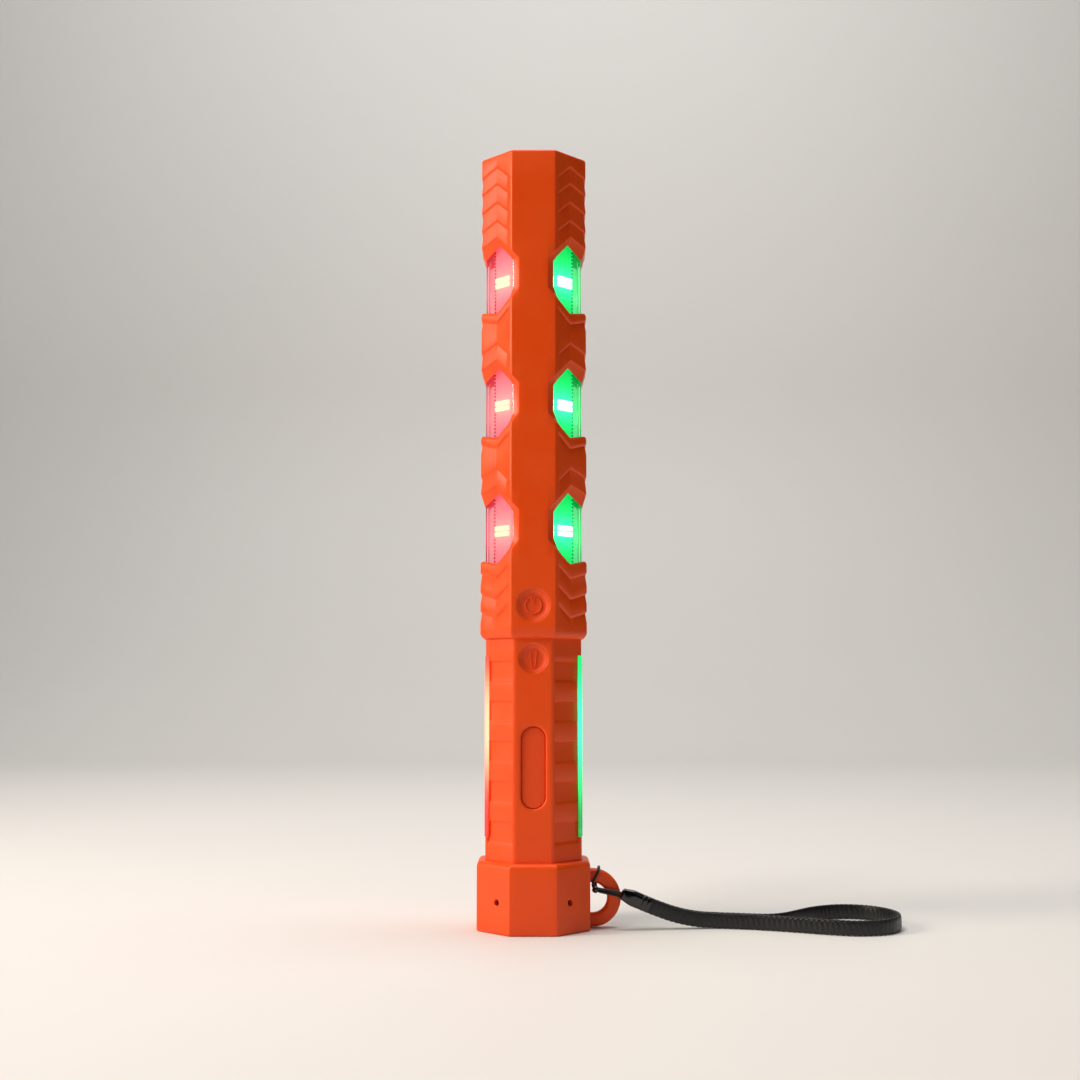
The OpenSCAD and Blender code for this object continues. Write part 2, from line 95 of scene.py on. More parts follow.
# ---------------------------------------------------------------- materials


def paint(code):
    """An sRGB hex colour as linear red, green, blue and alpha."""
    srgb = np.array([int(code[i:i + 2], 16) for i in (1, 3, 5)]) / 255
    linear = np.where(srgb <= 0.04045, srgb / 12.92, ((srgb + 0.055) / 1.055) ** 2.4)
    return (*linear.tolist(), 1.0)


def add(tree, kind, inputs=None, **settings):
    """Adds one node. Each input is a value, or another node's output to link to."""
    made = tree.nodes.new(kind)
    for name, value in settings.items():
        setattr(made, name, value)
    for key, value in (inputs or {}).items():
        if isinstance(value, bpy.types.NodeSocket):
            tree.links.new(value, made.inputs[key])
        else:
            made.inputs[key].default_value = value
    return made


def finish_of(name, colours, roughness, grain=0.4, depth=0.01, spread=0.06, patch=14.0, **sockets):
    """A surface finish: two near shades in cloudy patches, roughness that varies by spread, and
    a fine grain. grain is the size of the grain and patch that of the clouds, in millimetres;
    depth is the grain's height in millimetres."""
    made = bpy.data.materials.new(name)
    made.use_nodes = True
    tree = made.node_tree
    shader = tree.nodes["Principled BSDF"]
    place = add(tree, "ShaderNodeTexCoord").outputs["Object"]
    clouds = add(tree, "ShaderNodeTexNoise", {
        "Vector": place, "Scale": 1 / (patch * MM), "Detail": 3.0, "Roughness": 0.6})
    shades = add(tree, "ShaderNodeMix", {
        "Factor": clouds.outputs["Fac"], "A": paint(colours[0]), "B": paint(colours[-1])},
        data_type="RGBA")
    tree.links.new(shades.outputs["Result"], shader.inputs["Base Color"])
    rough = add(tree, "ShaderNodeMapRange", {
        "Value": clouds.outputs["Fac"], "From Min": 0.3, "From Max": 0.7,
        "To Min": max(roughness - spread, 0.02), "To Max": min(roughness + spread, 1.0)})
    tree.links.new(rough.outputs["Result"], shader.inputs["Roughness"])
    if depth:
        fine = add(tree, "ShaderNodeTexNoise", {
            "Vector": place, "Scale": 1 / (grain * MM), "Detail": 2.0, "Roughness": 0.55})
        bump = add(tree, "ShaderNodeBump", {
            "Height": fine.outputs["Fac"], "Strength": 1.0, "Distance": depth * MM})
        tree.links.new(bump.outputs["Normal"], shader.inputs["Normal"])
    for socket, value in sockets.items():
        shader.inputs[socket.replace("_", " ")].default_value = value
    return made


def on_right(tree):
    """A node's output that is 1 on the +X side and 0 on the other."""
    place = add(tree, "ShaderNodeTexCoord").outputs["Object"]
    parts = add(tree, "ShaderNodeSeparateXYZ", {"Vector": place})
    return add(tree, "ShaderNodeMath", {0: parts.outputs["X"], 1: 0.0},
        operation="GREATER_THAN").outputs[0]


def glow(made, colours, strength, weak, centre, pitch, width, by_side=False):
    """Paints light into a finish as a glow, for parts that are no lamps: strongest at heights
    centre, centre + 2 pitch and so on, fading over width to a weak glow. Heights are in
    millimetres. The colours are those of the weak and the strong painted light or, by side, those
    on the -X and the +X side."""
    tree = made.node_tree
    shader = tree.nodes["Principled BSDF"]
    place = add(tree, "ShaderNodeTexCoord").outputs["Object"]
    height = add(tree, "ShaderNodeSeparateXYZ", {"Vector": place}).outputs["Z"]
    above = add(tree, "ShaderNodeMath", {
        0: height, 1: -centre * MM}, operation="ADD").outputs[0]
    apart = add(tree, "ShaderNodeMath", {
        0: above, 1: pitch * MM}, operation="PINGPONG").outputs[0]
    share = add(tree, "ShaderNodeMapRange", {
        "Value": apart, "From Min": 0.0, "From Max": width * MM, "To Min": 1.0,
        "To Max": 0.0}, interpolation_type="SMOOTHERSTEP").outputs["Result"]
    colour = add(tree, "ShaderNodeMix", {
        "Factor": on_right(tree) if by_side else share, "A": paint(colours[0]),
        "B": paint(colours[1])}, data_type="RGBA").outputs["Result"]
    power = add(tree, "ShaderNodeMapRange", {
        "Value": share, "To Min": weak, "To Max": strength}).outputs["Result"]
    tree.links.new(colour, shader.inputs["Emission Color"])
    tree.links.new(power, shader.inputs["Emission Strength"])
    return made


def paint_light_by_side(made, left, right):
    """Paints the lamps' light into a finish's base colour: one tint on the -X side and another on
    the +X side.
    """
    tree = made.node_tree
    tint = add(tree, "ShaderNodeMix", {
        "Factor": on_right(tree), "A": paint(left), "B": paint(right)}, data_type="RGBA")
    tree.links.new(tint.outputs["Result"], tree.nodes["Principled BSDF"].inputs["Base Color"])
    return made


# Grains of up to a millimetre are drawn coarser here than real ones, so that they show.

# Injection-moulded ABS, spark-eroded mould: an even, dense orange with a very fine satin grain.
# The real grain is about 0.05 mm; it is drawn at 0.35 mm so that it shows.
orange_abs = finish_of("moulded_orange_abs", ("#F44B08", "#F7560C"), 0.40, 0.35, 0.012,
    Subsurface_Weight=0.03, Subsurface_Scale=0.002, Subsurface_Radius=(1.0, 0.3, 0.08),
    Specular_IOR_Level=0.38)
# Moulded silicone rubber: the same orange, duller, with a soft bloom at grazing angles.
orange_silicone = finish_of("moulded_orange_silicone", ("#EE4708", "#F2500B"), 0.52, 0.30,
    0.010, Specular_IOR_Level=0.38, Sheen_Weight=0.04, Sheen_Roughness=0.5)
# Polished clear acrylic: no colour, a sharp gloss and hardly any ripple.
clear_acrylic = finish_of("torch_lens_acrylic", ("#FFFFFF", "#FAFCFF"), 0.03, 8.0, 0.002,
    spread=0.01, Transmission_Weight=1.0, IOR=1.49)
# The same ABS in black: satin, so its edges catch soft grey lines.
black_abs = finish_of("moulded_black_abs", ("#141414", "#1B1B1C"), 0.45, 0.35, 0.012)
# Polished black acetal, as on clasps: a deep gloss, faintly uneven.
black_gloss = finish_of("polished_black_acetal", ("#08090A", "#0E0F10"), 0.16, 1.2, 0.004,
    Coat_Weight=0.4, Coat_Roughness=0.06)
# Moulded white ABS, left satin from the mould: a warm, even white.
white_abs = finish_of("moulded_white_abs", ("#F2F1EC", "#FAFAF6"), 0.5, 0.5, 0.01)
# Moulded rubber: dull and dark grey, with a rough grain and no clear highlight.
black_rubber = finish_of("moulded_black_rubber", ("#161616", "#202020"), 0.75, 0.6, 0.03)
# Steel with bright zinc plating: cool grey, a little cloudy.
steel = finish_of("bright_zinc_plated_steel", ("#B9BCC0", "#D2D4D6"), 0.28, 0.5, 0.006,
    Metallic=1.0)
# Steel screws blackened in hot oxide: dark, with a satin shine.
dark_steel = finish_of("blackened_steel", ("#3A3A3D", "#4A4A4E"), 0.4, 0.4, 0.01,
    Metallic=1.0)
# Aluminium plated on a cup with a fine orange peel: a bright mirror, slightly broken up.
bright_plating = finish_of("vacuum_plated_aluminium", ("#E8EAEC", "#F4F5F6"), 0.08, 0.9,
    0.010, spread=0.03, Metallic=1.0)
# Thin gold on turned brass: warm yellow and smooth.
gold_plate = finish_of("gold_plated_brass", ("#D8A440", "#E7B95C"), 0.25, 0.5, 0.004,
    Metallic=1.0)
# Nickel on a pressed magnet: warmer than zinc, smooth and bright.
magnet_nickel = finish_of("nickel_plated_magnet", ("#C3C1BA", "#D3D1CB"), 0.18, 0.9, 0.004,
    Metallic=1.0)
# Fibreglass board under green varnish: dark copper areas show as patches.
green_board = finish_of("green_solder_mask_board", ("#0E5A2C", "#14703A"), 0.35, 1.1, 0.02,
    patch=2.5, Coat_Weight=0.3)
# Shrunk PVC sleeve on the cell: smooth, slightly wavy.
cell_wrap = finish_of("blue_pvc_cell_wrap", ("#1E5FA8", "#276BB5"), 0.3, 3.0, 0.03)
# Extruded silicone jacket on the leads: deep red with a low shine.
red_wire = finish_of("red_silicone_wire_jacket", ("#B81E18", "#C92A22"), 0.4, 0.8, 0.01)


def lamp(name, colour, light, strength):
    """A lamp's face under its clear drop of resin: one colour that shines."""
    made = finish_of(name, (colour, colour), 0.2, 0.3, 0.004)
    shader = made.node_tree.nodes["Principled BSDF"]
    shader.inputs["Emission Color"].default_value = paint(light)
    shader.inputs["Emission Strength"].default_value = strength
    return made


red_lamp = lamp("lit_red_lamp", "#FFE2C0", "#FFE6A8", 1.6)
green_lamp = lamp("lit_green_lamp", "#E6FFF2", "#E6FFF4", 4.5)
white_lamp = lamp("white_torch_lamp", "#FFF4C8", "#FFF4DC", 0.6)
# Where the painted glow of the tube, boards and stalk, and that of the grip's strips, is brightest
# and how it fades
BOARD_GLOW = (156.3, 50.6 / 2, 13.0)     # height of the lowest lamps, half their pitch, fade
STRIP_GLOW = (79.0, 200.0, 42.0)         # height of the strips' brightest place, a pitch past
                                         # their ends, fade

# Polished clear polycarbonate tube: faint ripples from extrusion, and a painted glow and a painted
# tint in the light of the boards behind it, red on the -X side and green on the +X side.
clear_polycarbonate_painted_glow = paint_light_by_side(glow(finish_of("clear_polycarbonate_painted_glow", ("#FFFFFF",), 0.04, 6.0,
    0.006, spread=0.02, Transmission_Weight=1.0, IOR=1.585), ("#FF5A70", "#00F070"), 0.16, 0.07,
    *BOARD_GLOW, by_side=True), "#FFDADE", "#B4F6D0")
# White varnished boards, painted pink and green in the light of their lamps, with a painted glow
# brightest round each lamp
red_board_painted_glow = glow(finish_of("white_board_painted_red_light", ("#F2A4A8", "#E8949A"), 0.45, 0.7, 0.02,
    patch=1.6), ("#FF7886", "#FFA898"), 0.95, 0.62, *BOARD_GLOW)
green_board_painted_glow = glow(finish_of("white_board_painted_green_light", ("#18B066", "#10A05A"), 0.45, 0.7,
    0.02, patch=1.6), ("#00F880", "#50FFB8"), 1.8, 0.75, *BOARD_GLOW)
# The white ABS stalk between the boards, with a painted glow of their light, red on one side and
# green on the other
stalk_painted_glow = glow(finish_of("moulded_white_abs_painted_glow", ("#D8D4CE", "#DEDAD6"), 0.5, 0.5, 0.01),
    ("#FF2A34", "#04D060"), 0.5, 0.25, *BOARD_GLOW, by_side=True)
# Milky clear strips along the grip, with the light of the lamps behind them painted in as a red or
# green tint and a glow
red_strip_painted_glow = glow(finish_of("milky_polycarbonate_painted_red_glow", ("#FF7060", "#FF6456"), 0.16, 6.0,
    0.006, spread=0.04, Transmission_Weight=0.8, IOR=1.585), ("#E81C20", "#FFC49C"), 0.9, 0.22,
    *STRIP_GLOW)
green_strip_painted_glow = glow(finish_of("milky_polycarbonate_painted_green_glow", ("#50F0A0", "#46E898"), 0.16,
    6.0, 0.006, spread=0.04, Transmission_Weight=0.8, IOR=1.585), ("#00D868", "#50FFB0"), 0.8,
    0.10, *STRIP_GLOW)
# Ceramic chip resistors: small and dull, dark against the lit boards, with the red or green of the
# lamps' light painted into their colour
dark_chip_painted_red_light = finish_of("dark_ceramic_chips_painted_red_light", ("#8C2C36", "#7A2430"), 0.4, 0.3, 0.01, patch=1.0)
dark_chip_painted_green_light = finish_of("dark_ceramic_chips_painted_green_light", ("#08683A", "#065A30"), 0.4, 0.3,
    0.01, patch=1.0)


def set_material(node_names, material):
    """Gives CAD nodes a finish."""
    for name in node_names:
        mesh = frame["nodes"][name].data
        mesh.materials.clear()
        mesh.materials.append(material)


# ---------------------------------------------------------------- mesh tools


class Skin:
    """Collects the points and faces of one piece. Faces list their corners anticlockwise as
    seen from outside."""

    def __init__(self):
        self.points = []
        self.faces = []
        self.count = 0

    def add(self, points):
        """Adds points of shape (..., 3) and returns their numbers in the same shape."""
        points = np.asarray(points, float)
        shape = points.shape[:-1]
        size = int(np.prod(shape))
        self.points.append(points.reshape(-1, 3))
        ids = np.arange(self.count, self.count + size).reshape(shape)
        self.count += size
        return ids

    def bridge(self, rings, closed=True):
        """Joins each ring of numbers to the next one. Going from outside a hole to its
        middle, or down a stack, keeps the faces outwards."""
        here = rings if closed else rings[:, :-1]
        there = np.roll(rings, -1, 1) if closed else rings[:, 1:]
        quads = np.stack([here[:-1], there[:-1], there[1:], here[1:]], -1)
        self.faces.append(quads.reshape(-1, 4))

    def lid(self, ring):
        """Closes a ring with one face."""
        self.faces.append(np.asarray(ring).reshape(1, -1))

    def zip(self, outer, inner, outer_turn, inner_turn, flip=False):
        """Fills the band between two closed rings of different counts with triangles: each
        edge goes to the point of the other ring whose turn about the middle lies nearest.
        The turns are angles that rise along each ring."""
        a = np.unwrap(outer_turn)
        b = np.unwrap(inner_turn)
        b = b - TAU * np.round((b.mean() - a.mean()) / TAU)
        start = int(np.argmin(np.abs(np.angle(np.exp(1j * (b - a[0]))))))
        inner = np.roll(inner, -start)
        b = np.unwrap(np.roll(b, -start))
        b = b - TAU * np.round((b[0] - a[0]) / TAU)
        mid_a = (a + np.append(a[1:], a[0] + TAU)) / 2
        mid_b = (b + np.append(b[1:], b[0] + TAU)) / 2
        to_b = np.searchsorted(mid_b, mid_a, side="left") % len(b)
        to_a = np.searchsorted(mid_a, mid_b, side="right") % len(a)
        made = [np.stack([outer, np.roll(outer, -1), inner[to_b]], 1),
            np.stack([np.roll(inner, -1), inner, outer[to_a]], 1)]
        made = np.concatenate(made)
        self.faces.append(made[:, ::-1] if flip else made)


def piece(name, skin, material, body, stands_for=(), crease=32.0):
    """Makes a Skin into a piece that rides on a body. Edges sharper than crease degrees stay
    sharp in the shading."""
    mesh = bpy.data.meshes.new(name)
    points = np.concatenate(skin.points) * MM
    mesh.from_pydata(points.tolist(), [], [f for block in skin.faces for f in block.tolist()])
    work = bmesh.new()
    work.from_mesh(mesh)
    bmesh.ops.delete(work, geom=[v for v in work.verts if not v.link_faces], context="VERTS")
    bmesh.ops.remove_doubles(work, verts=work.verts, dist=2e-6)
    work.to_mesh(mesh)
    work.free()
    mesh.polygons.foreach_set("use_smooth", np.ones(len(mesh.polygons), bool))
    mesh.set_sharp_from_angle(angle=math.radians(crease))
    mesh.materials.append(material)
    made = bpy.data.objects.new(name, mesh)
    bpy.context.scene.collection.objects.link(made)
    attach(made, body)
    if stands_for:
        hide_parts(*stands_for)
    return made


def smooth(t):
    """0 below 0, 1 above 1, and an S curve between."""
    t = np.clip(t, 0, 1)
    return t * t * (3 - 2 * t)


def octagon(u, half, apothem, front_round, side_round):
    """A point of an octagon with rounded corners. u runs round it from the middle of the front
    face, towards +X, as if each face were 2 half wide; the point lies on the face whose middle
    is nearest, at apothem from the axis and stretched to that face's true width. Within a
    corner's tangent length the point follows the corner's arc. Returns x and y."""
    face = np.round(u / (2 * half))
    t = u - face * 2 * half
    towards_side = (np.mod(face, 2) * np.sign(t) * np.where(np.mod(face, 4) < 2, 1, -1)) > 0
    on_side_face = np.mod(face, 4) == 2
    radius = np.where(towards_side | on_side_face, side_round, front_round)
    tangent = radius * HALF_FACE
    true_half = apothem * HALF_FACE
    straight = np.abs(t) <= half - tangent
    along = np.where(straight, np.abs(t) * (true_half - tangent) / (half - tangent),
        true_half - tangent)
    turn = np.where(straight, 0, (np.abs(t) - half + tangent) / tangent) * math.radians(22.5)
    out = apothem - radius * (1 - np.cos(turn))
    along = np.sign(t) * (along + radius * np.sin(turn))
    way = np.radians(-90 + 45 * face)
    x = out * np.cos(way) - along * np.sin(way)
    y = out * np.sin(way) + along * np.cos(way)
    return x, y


def folded(u, half):
    """How far round from the nearer of the front and back middles a point is, from 0 to
    4 half."""
    v = np.mod(u, 16 * half)
    v = np.minimum(v, 16 * half - v)
    return np.minimum(v, 8 * half - v)


def all_round(quarter, half, turns=(0, 1, 2, 3)):
    """Places round the octagon from those in a quarter, mirrored into the asked quarters: 0 and
    1 meet at the right side, 3 and 2 at the left one."""
    q = np.array(sorted(quarter))
    parts = {0: q, 1: 8 * half - q[::-1], 2: q - 8 * half, 3: -q[::-1]}
    return np.unique(np.round(np.concatenate([parts[k] for k in turns]), 5))


def shell(skin, layers, keep, patch, wrap, foot=True):
    """A wall between an outer and an inner grid of the same size, layers[0] and layers[-1].
    Cells that aren't kept are openings, and every edge of the kept ones is joined through all
    the layers, except round a patch, which is filled by something else. Returns the grids'
    point numbers."""
    ids = np.stack([skin.add(layer) for layer in layers])
    here = ids if wrap else ids[:, :, :-1]
    there = np.roll(ids, -1, 2) if wrap else ids[:, :, 1:]
    cells = np.stack([here[:, :-1], there[:, :-1], there[:, 1:], here[:, 1:]], -1)
    skin.faces.append(cells[0][keep])
    skin.faces.append(cells[-1][keep][:, ::-1])
    solid = keep | patch
    blank_row = np.zeros((1, solid.shape[1]), bool)
    below = np.concatenate([blank_row if foot else ~blank_row, solid[:-1]])
    above = np.concatenate([solid[1:], blank_row])
    left = np.roll(solid, 1, 1)
    right = np.roll(solid, -1, 1)
    if not wrap:
        left[:, 0] = False
        right[:, -1] = False
    for a, b, beyond in ((0, 1, below), (1, 2, right), (2, 3, above), (3, 0, left)):
        edge = keep & ~beyond
        for near, deep in zip(cells[:-1], cells[1:]):
            skin.faces.append(np.stack([near[edge][:, b], near[edge][:, a],
                deep[edge][:, a], deep[edge][:, b]], -1))
    return ids


def cell_range(values, low, high):
    """The first and last of the sorted values from low to high, as positions."""
    inside = np.flatnonzero((values >= low - 1e-6) & (values <= high + 1e-6))
    return inside[0], inside[-1]


def frame_of(ids, rows, cols):
    """The point numbers round a rectangle of a grid, anticlockwise from outside."""
    r0, r1 = rows
    c0, c1 = cols
    return np.concatenate([ids[r0, c0:c1], ids[r0:r1, c1], ids[r1, c1:c0:-1],
        ids[r1:r0:-1, c0]])


def turns_about(skin, ids, middle, way):
    """Each point's turn about middle, seen from outside along the direction way (degrees)."""
    points = np.concatenate(skin.points)[ids] - middle
    side = np.array([-math.sin(math.radians(way)), math.cos(math.radians(way)), 0])
    return np.arctan2(points[:, 2], points @ side)


def ring(middle, way, width, height, grow, out, count=64):
    """An upright slot outline with round ends, grown by grow, at distance out from the axis on
    the face that looks towards way: half circles joined by straight sides."""
    turn = (np.arange(count) + 0.5) * TAU / count
    low = min(width, height) / 2
    radius = low + grow
    side = radius * np.cos(turn) + np.sign(np.cos(turn)) * (width / 2 - low)
    rise = radius * np.sin(turn) + np.sign(np.sin(turn)) * (height / 2 - low)
    a = math.radians(way)
    side = side + middle[0]
    x = out * math.cos(a) - side * math.sin(a)
    y = out * math.sin(a) + side * math.cos(a)
    return np.stack([x, y, rise + middle[1]], -1)


def opening(skin, ids, rows, cols, middle, way, rings, through=True):
    """Fills a rectangle left out of a wall's grids with a shaped opening: the outer grid's
    rectangle, then the rings from outside inwards, then the inner grid's rectangle. Without
    through, the last ring is closed by a lid and the inner rectangle by a plain face."""
    a = math.radians(way)
    centre = np.array([-math.sin(a) * middle[0], math.cos(a) * middle[0], middle[1]])
    numbers = np.stack([skin.add(r) for r in rings])
    outer = frame_of(ids[0], rows, cols)
    inner = frame_of(ids[-1], rows, cols)
    skin.zip(outer, numbers[0], turns_about(skin, outer, centre, way),
        turns_about(skin, numbers[0], centre, way))
    skin.bridge(numbers)
    if through:
        skin.zip(inner, numbers[-1], turns_about(skin, inner, centre, way),
            turns_about(skin, numbers[-1], centre, way), flip=True)
    else:
        skin.lid(numbers[-1])
        skin.lid(inner[::-1])
    return numbers


def revolve(skin, profile, origin, axis, count=64, closed=False):
    """Turns a profile of (radius, distance along the axis) about the axis through origin. A
    profile that starts or ends at radius 0 closes there; a closed one joins its ends."""
    axis = np.array(axis, float) / np.linalg.norm(axis)
    other = np.array([0, 0, 1.0]) if abs(axis[2]) < 0.9 else np.array([1.0, 0, 0])
    first = np.cross(other, axis)
    first /= np.linalg.norm(first)
    second = np.cross(axis, first)
    turn = np.arange(count) * TAU / count
    spoke = np.cos(turn)[:, None] * first + np.sin(turn)[:, None] * second
    profile = np.asarray(profile, float)
    rings = (np.asarray(origin, float) + profile[:, None, 1:] * axis
        + profile[:, None, :1] * spoke)
    ids = skin.add(rings)
    skin.bridge(np.concatenate([ids, ids[:1]]) if closed else ids)


def spline(points, steps):
    """A Catmull-Rom curve through the points, with steps from each to the next."""
    p = np.asarray(points, float)
    p = np.concatenate([p[:1], p, p[-1:]])
    t = (np.arange(steps) / steps)[None, :, None]
    a, b, c, d = (p[i:len(p) - 3 + i, None, :] for i in range(4))
    curve = 0.5 * (2 * b + (c - a) * t + (2 * a - 5 * b + 4 * c - d) * t ** 2
        + (3 * b - a - 3 * c + d) * t ** 3)
    return np.concatenate([curve.reshape(-1, 3), p[-1:]])


def evenly(path, step):
    """The path again with points about step apart, and the distance along it to each."""
    walked = np.concatenate([[0], np.cumsum(np.linalg.norm(np.diff(path, axis=0), axis=1))])
    far = np.linspace(0, walked[-1], int(round(walked[-1] / step)) + 1)
    return np.stack([np.interp(far, walked, path[:, k]) for k in range(3)], 1), far


def sweep(skin, path, section, up, closed=False):
    """Carries a section along a path: each point of the section is (sideways, upwards), where
    sideways is the path's direction crossed with up. section is (points, 2), or (places,
    points, 2) where it changes along the path. Open ends are closed by lids."""
    if closed:
        tangent = np.roll(path, -1, 0) - np.roll(path, 1, 0)
    else:
        tangent = np.gradient(path, axis=0)
    tangent /= np.linalg.norm(tangent, axis=1)[:, None]
    side = np.cross(tangent, np.broadcast_to(np.asarray(up, float), tangent.shape))
    side /= np.linalg.norm(side, axis=1)[:, None]
    rise = np.cross(side, tangent)
    section = np.broadcast_to(section, (len(path), *np.shape(section)[-2:]))
    points = (path[:, None] + section[..., :1] * side[:, None]
        + section[..., 1:] * rise[:, None])
    ids = skin.add(points)
    if closed:
        skin.bridge(np.concatenate([ids, ids[:1]])[:, ::-1])
    else:
        skin.bridge(ids[:, ::-1])
        skin.lid(ids[0])
        skin.lid(ids[-1][::-1])
    return ids


# ---------------------------------------------------------------- strap

STRING_ROUTE = [
    [36.2, -4.8, 13.3], [33, -4.6, 14.3], [29.5, -4.4, 14.9], [26.4, -4.2, 15.4],
    [24, -4, 15.9], [23.4, -3.6, 17.2], [24, -3.25, 19.1], [24.8, -3.15, 20.6],
    [25.5, -2.75, 22], [25.8, -1.6, 23.1], [25.9, 0, 23.5], [25.9, 1.6, 23.1],
    [25.8, 2.75, 22], [25.5, 3.15, 20.6], [25.2, 3.15, 19.5], [24.9, 2.75, 18],
    [24.7, 1.6, 16.9], [24.6, 0.2, 16.35], [24.7, -1.4, 15.9], [25.1, -2.9, 15.1],
    [26, -3.9, 14.5], [27.8, -4.3, 14.1], [30.2, -4.4, 13.6], [33, -4.6, 13],
    [36.2, -4.8, 11.9]]
WEB_ROUTE = [
    [45.4, -3.7, 9.3], [49, -3.4, 7.9], [54, -2.9, 6.1], [60, -2.2, 4.5], [66, -1.3, 3.5],
    [73, -1.1, 3.1], [80, -2.4, 3.05], [87, -4.1, 3.05], [93, -4.5, 3.05], [99, -1.6, 3.05],
    [105, 4.9, 3.05], [111, 11.8, 3.05], [118, 17.4, 3.05], [126, 20.3, 3.05],
    [134, 18.8, 3.05], [140, 13.5, 3.05], [143.4, 6.3, 3.05], [144.2, -1.5, 3.05],
    [142.3, -9.5, 3.05], [138, -16.2, 3.05], [131, -20.3, 3.05], [122.5, -21, 3.05],
    [114, -18.4, 3.05], [105, -14.1, 3.05], [96, -10, 3.05], [87, -6.5, 3.05],
    [80, -4.7, 3.05], [73, -3.4, 3.1], [66, -3.6, 3.5], [60, -4.5, 4.5], [54, -5.2, 6.1],
    [49, -5.7, 7.9], [45.4, -6, 9.3]]

STRING_ACROSS = 1.15
STRING_LAY = 2.4                         # length in which its three strands turn once
BAND_WIDTH = 6.0
BAND_THICK = 1.9
STRAND_PITCH = 2.1
STRAND_RELIEF = 0.34                     # how far a strand stands out where it is on top
CLAMP_MIDDLE = (40.4, -4.85, 11.4)
CLAMP_LENGTH = 12.9
CLAMP_TILT = math.radians(22.6)          # it points this far below level, away from the light
BEAD_MIDDLE = (24.4, -3.9, 15.2)
BEAD_AXIS = (1, -0.07, -0.3)             # along the two strands it is threaded on

# Braided polyester cord: matt black, each strand catches a thin line of light. Strands of such a
# band cross about every millimetre; they are drawn 2.1 mm apart so that they show.
black_braid = finish_of("braided_black_polyester", ("#0C0C0D", "#18181A"), 0.38, 0.15, 0.02,
    patch=3.0, Sheen_Weight=0.05, Sheen_Roughness=0.3)


def braided_band(far, width, thick, pick, relief, count):
    """The band's section at each place along it: a rectangle with round short ends, raised by
    a braid of two sets of strands that cross. With s along the band and v round it, the sets
    lie along s + v and s - v; where their chessboard is even the first set is on top, else the
    second, and the one on top bulges as a sine across itself. A strand is pick wide along the
    band."""
    around = (np.arange(count) + 0.5) / count * TAU
    side = np.sign(np.cos(around)) * np.abs(np.cos(around)) ** 0.8
    rise = np.sign(np.sin(around)) * np.abs(np.sin(around)) ** 0.35
    outline = np.stack([side * (thick / 2 - relief), rise * (width / 2 - relief)], -1)
    girth = np.concatenate([[0], np.cumsum(np.linalg.norm(np.diff(outline, axis=0), axis=1))])
    total = girth[-1] + np.linalg.norm(outline[0] - outline[-1])
    strands = 2 * round(total / pick / 2)
    v = girth / total * strands
    s = far[:, None] / pick
    first = s + v
    second = s - v
    top = np.where(np.mod(np.floor(first) + np.floor(second), 2) == 0, first, second)
    bulge = np.abs(np.sin(math.pi * top)) ** 0.6
    away = outline / np.linalg.norm(outline, axis=1)[:, None]
    return outline + away * (relief * bulge)[..., None]


def twisted_string(far, diameter, lay, count):
    """The string's section at each place: a circle whose edge rises in three strands that turn
    once in every lay of its length."""
    around = np.arange(count) * TAU / count
    phase = around + far[:, None] / lay * TAU
    radius = diameter / 2 * (0.9 + 0.1 * np.abs(np.cos(1.5 * phase)))
    return np.stack([radius * np.cos(around), radius * np.sin(around)], -1)


string_path, string_far = evenly(spline(STRING_ROUTE, 8), 0.25)
skin = Skin()
sweep(skin, string_path, twisted_string(string_far, STRING_ACROSS, STRING_LAY, 14), (1, 1, 1))
strap_string = piece("strap_thin_string", skin, black_braid, "light_body",
    ["strap_string"])

web_path, web_far = evenly(spline(WEB_ROUTE, 8), 0.3)
skin = Skin()
sweep(skin, web_path, braided_band(web_far, BAND_WIDTH, BAND_THICK, STRAND_PITCH,
    STRAND_RELIEF, 72), (0, 0, 1))
strap_band = piece("strap_braided_band", skin, black_braid, "light_body",
    ["strap_webbing"])


def clamp_section(count, length):
    """Sections of the clamp along its length: a rounded rectangle that flares from the string's
    end, rolls over at both ends and has two shallow cuts round it near the band's end."""
    t = np.linspace(0, 1, 66)
    flare = 0.72 + 0.28 * smooth(t / 0.4)
    roll = np.sqrt(np.clip(1 - np.clip((t - 0.93) / 0.07, 0, 1) ** 2, 0.25, 1))
    roll *= np.sqrt(np.clip(1 - np.clip((0.06 - t) / 0.06, 0, 1) ** 2, 0.25, 1))
    cut = np.exp(-((t - 0.68) / 0.012) ** 2) + np.exp(-((t - 0.82) / 0.012) ** 2)
    size = flare * roll * (1 - 0.06 * cut)
    around = (np.arange(count) + 0.5) / count * TAU
    side = np.sign(np.cos(around)) * np.abs(np.cos(around)) ** 0.55
    rise = np.sign(np.sin(around)) * np.abs(np.sin(around)) ** 0.55
    outline = np.stack([side * 2.35, rise * 3.1], -1)
    return outline[None] * size[:, None, None], (t - 0.5) * length


clamp_way = np.array([math.cos(CLAMP_TILT), 0, -math.sin(CLAMP_TILT)])
clamp_sections, clamp_far = clamp_section(48, CLAMP_LENGTH)
skin = Skin()
sweep(skin, np.array(CLAMP_MIDDLE) + clamp_far[:, None] * clamp_way, clamp_sections, (0, 0, 1))
strap_clamp = piece("strap_clamp", skin, black_gloss, "light_body",
    ["strap_ferrule"], crease=50)

# A barrel bead with a rolled hole, on both strands of the string
skin = Skin()
turn = np.linspace(-1, 1, 15) * math.radians(66)
bead_profile = np.concatenate([np.stack([1.38 * np.cos(turn), 1.3 * np.sin(turn) / 0.92], -1),
    np.array([[0.45, 1.2], [0.45, -1.2]])])
revolve(skin, bead_profile, BEAD_MIDDLE, BEAD_AXIS, 32, closed=True)
strap_bead = piece("strap_bead_barrel", skin, black_gloss, "light_body",
    ["strap_bead"], crease=60)

# ---------------------------------------------------------------- barrel sleeve

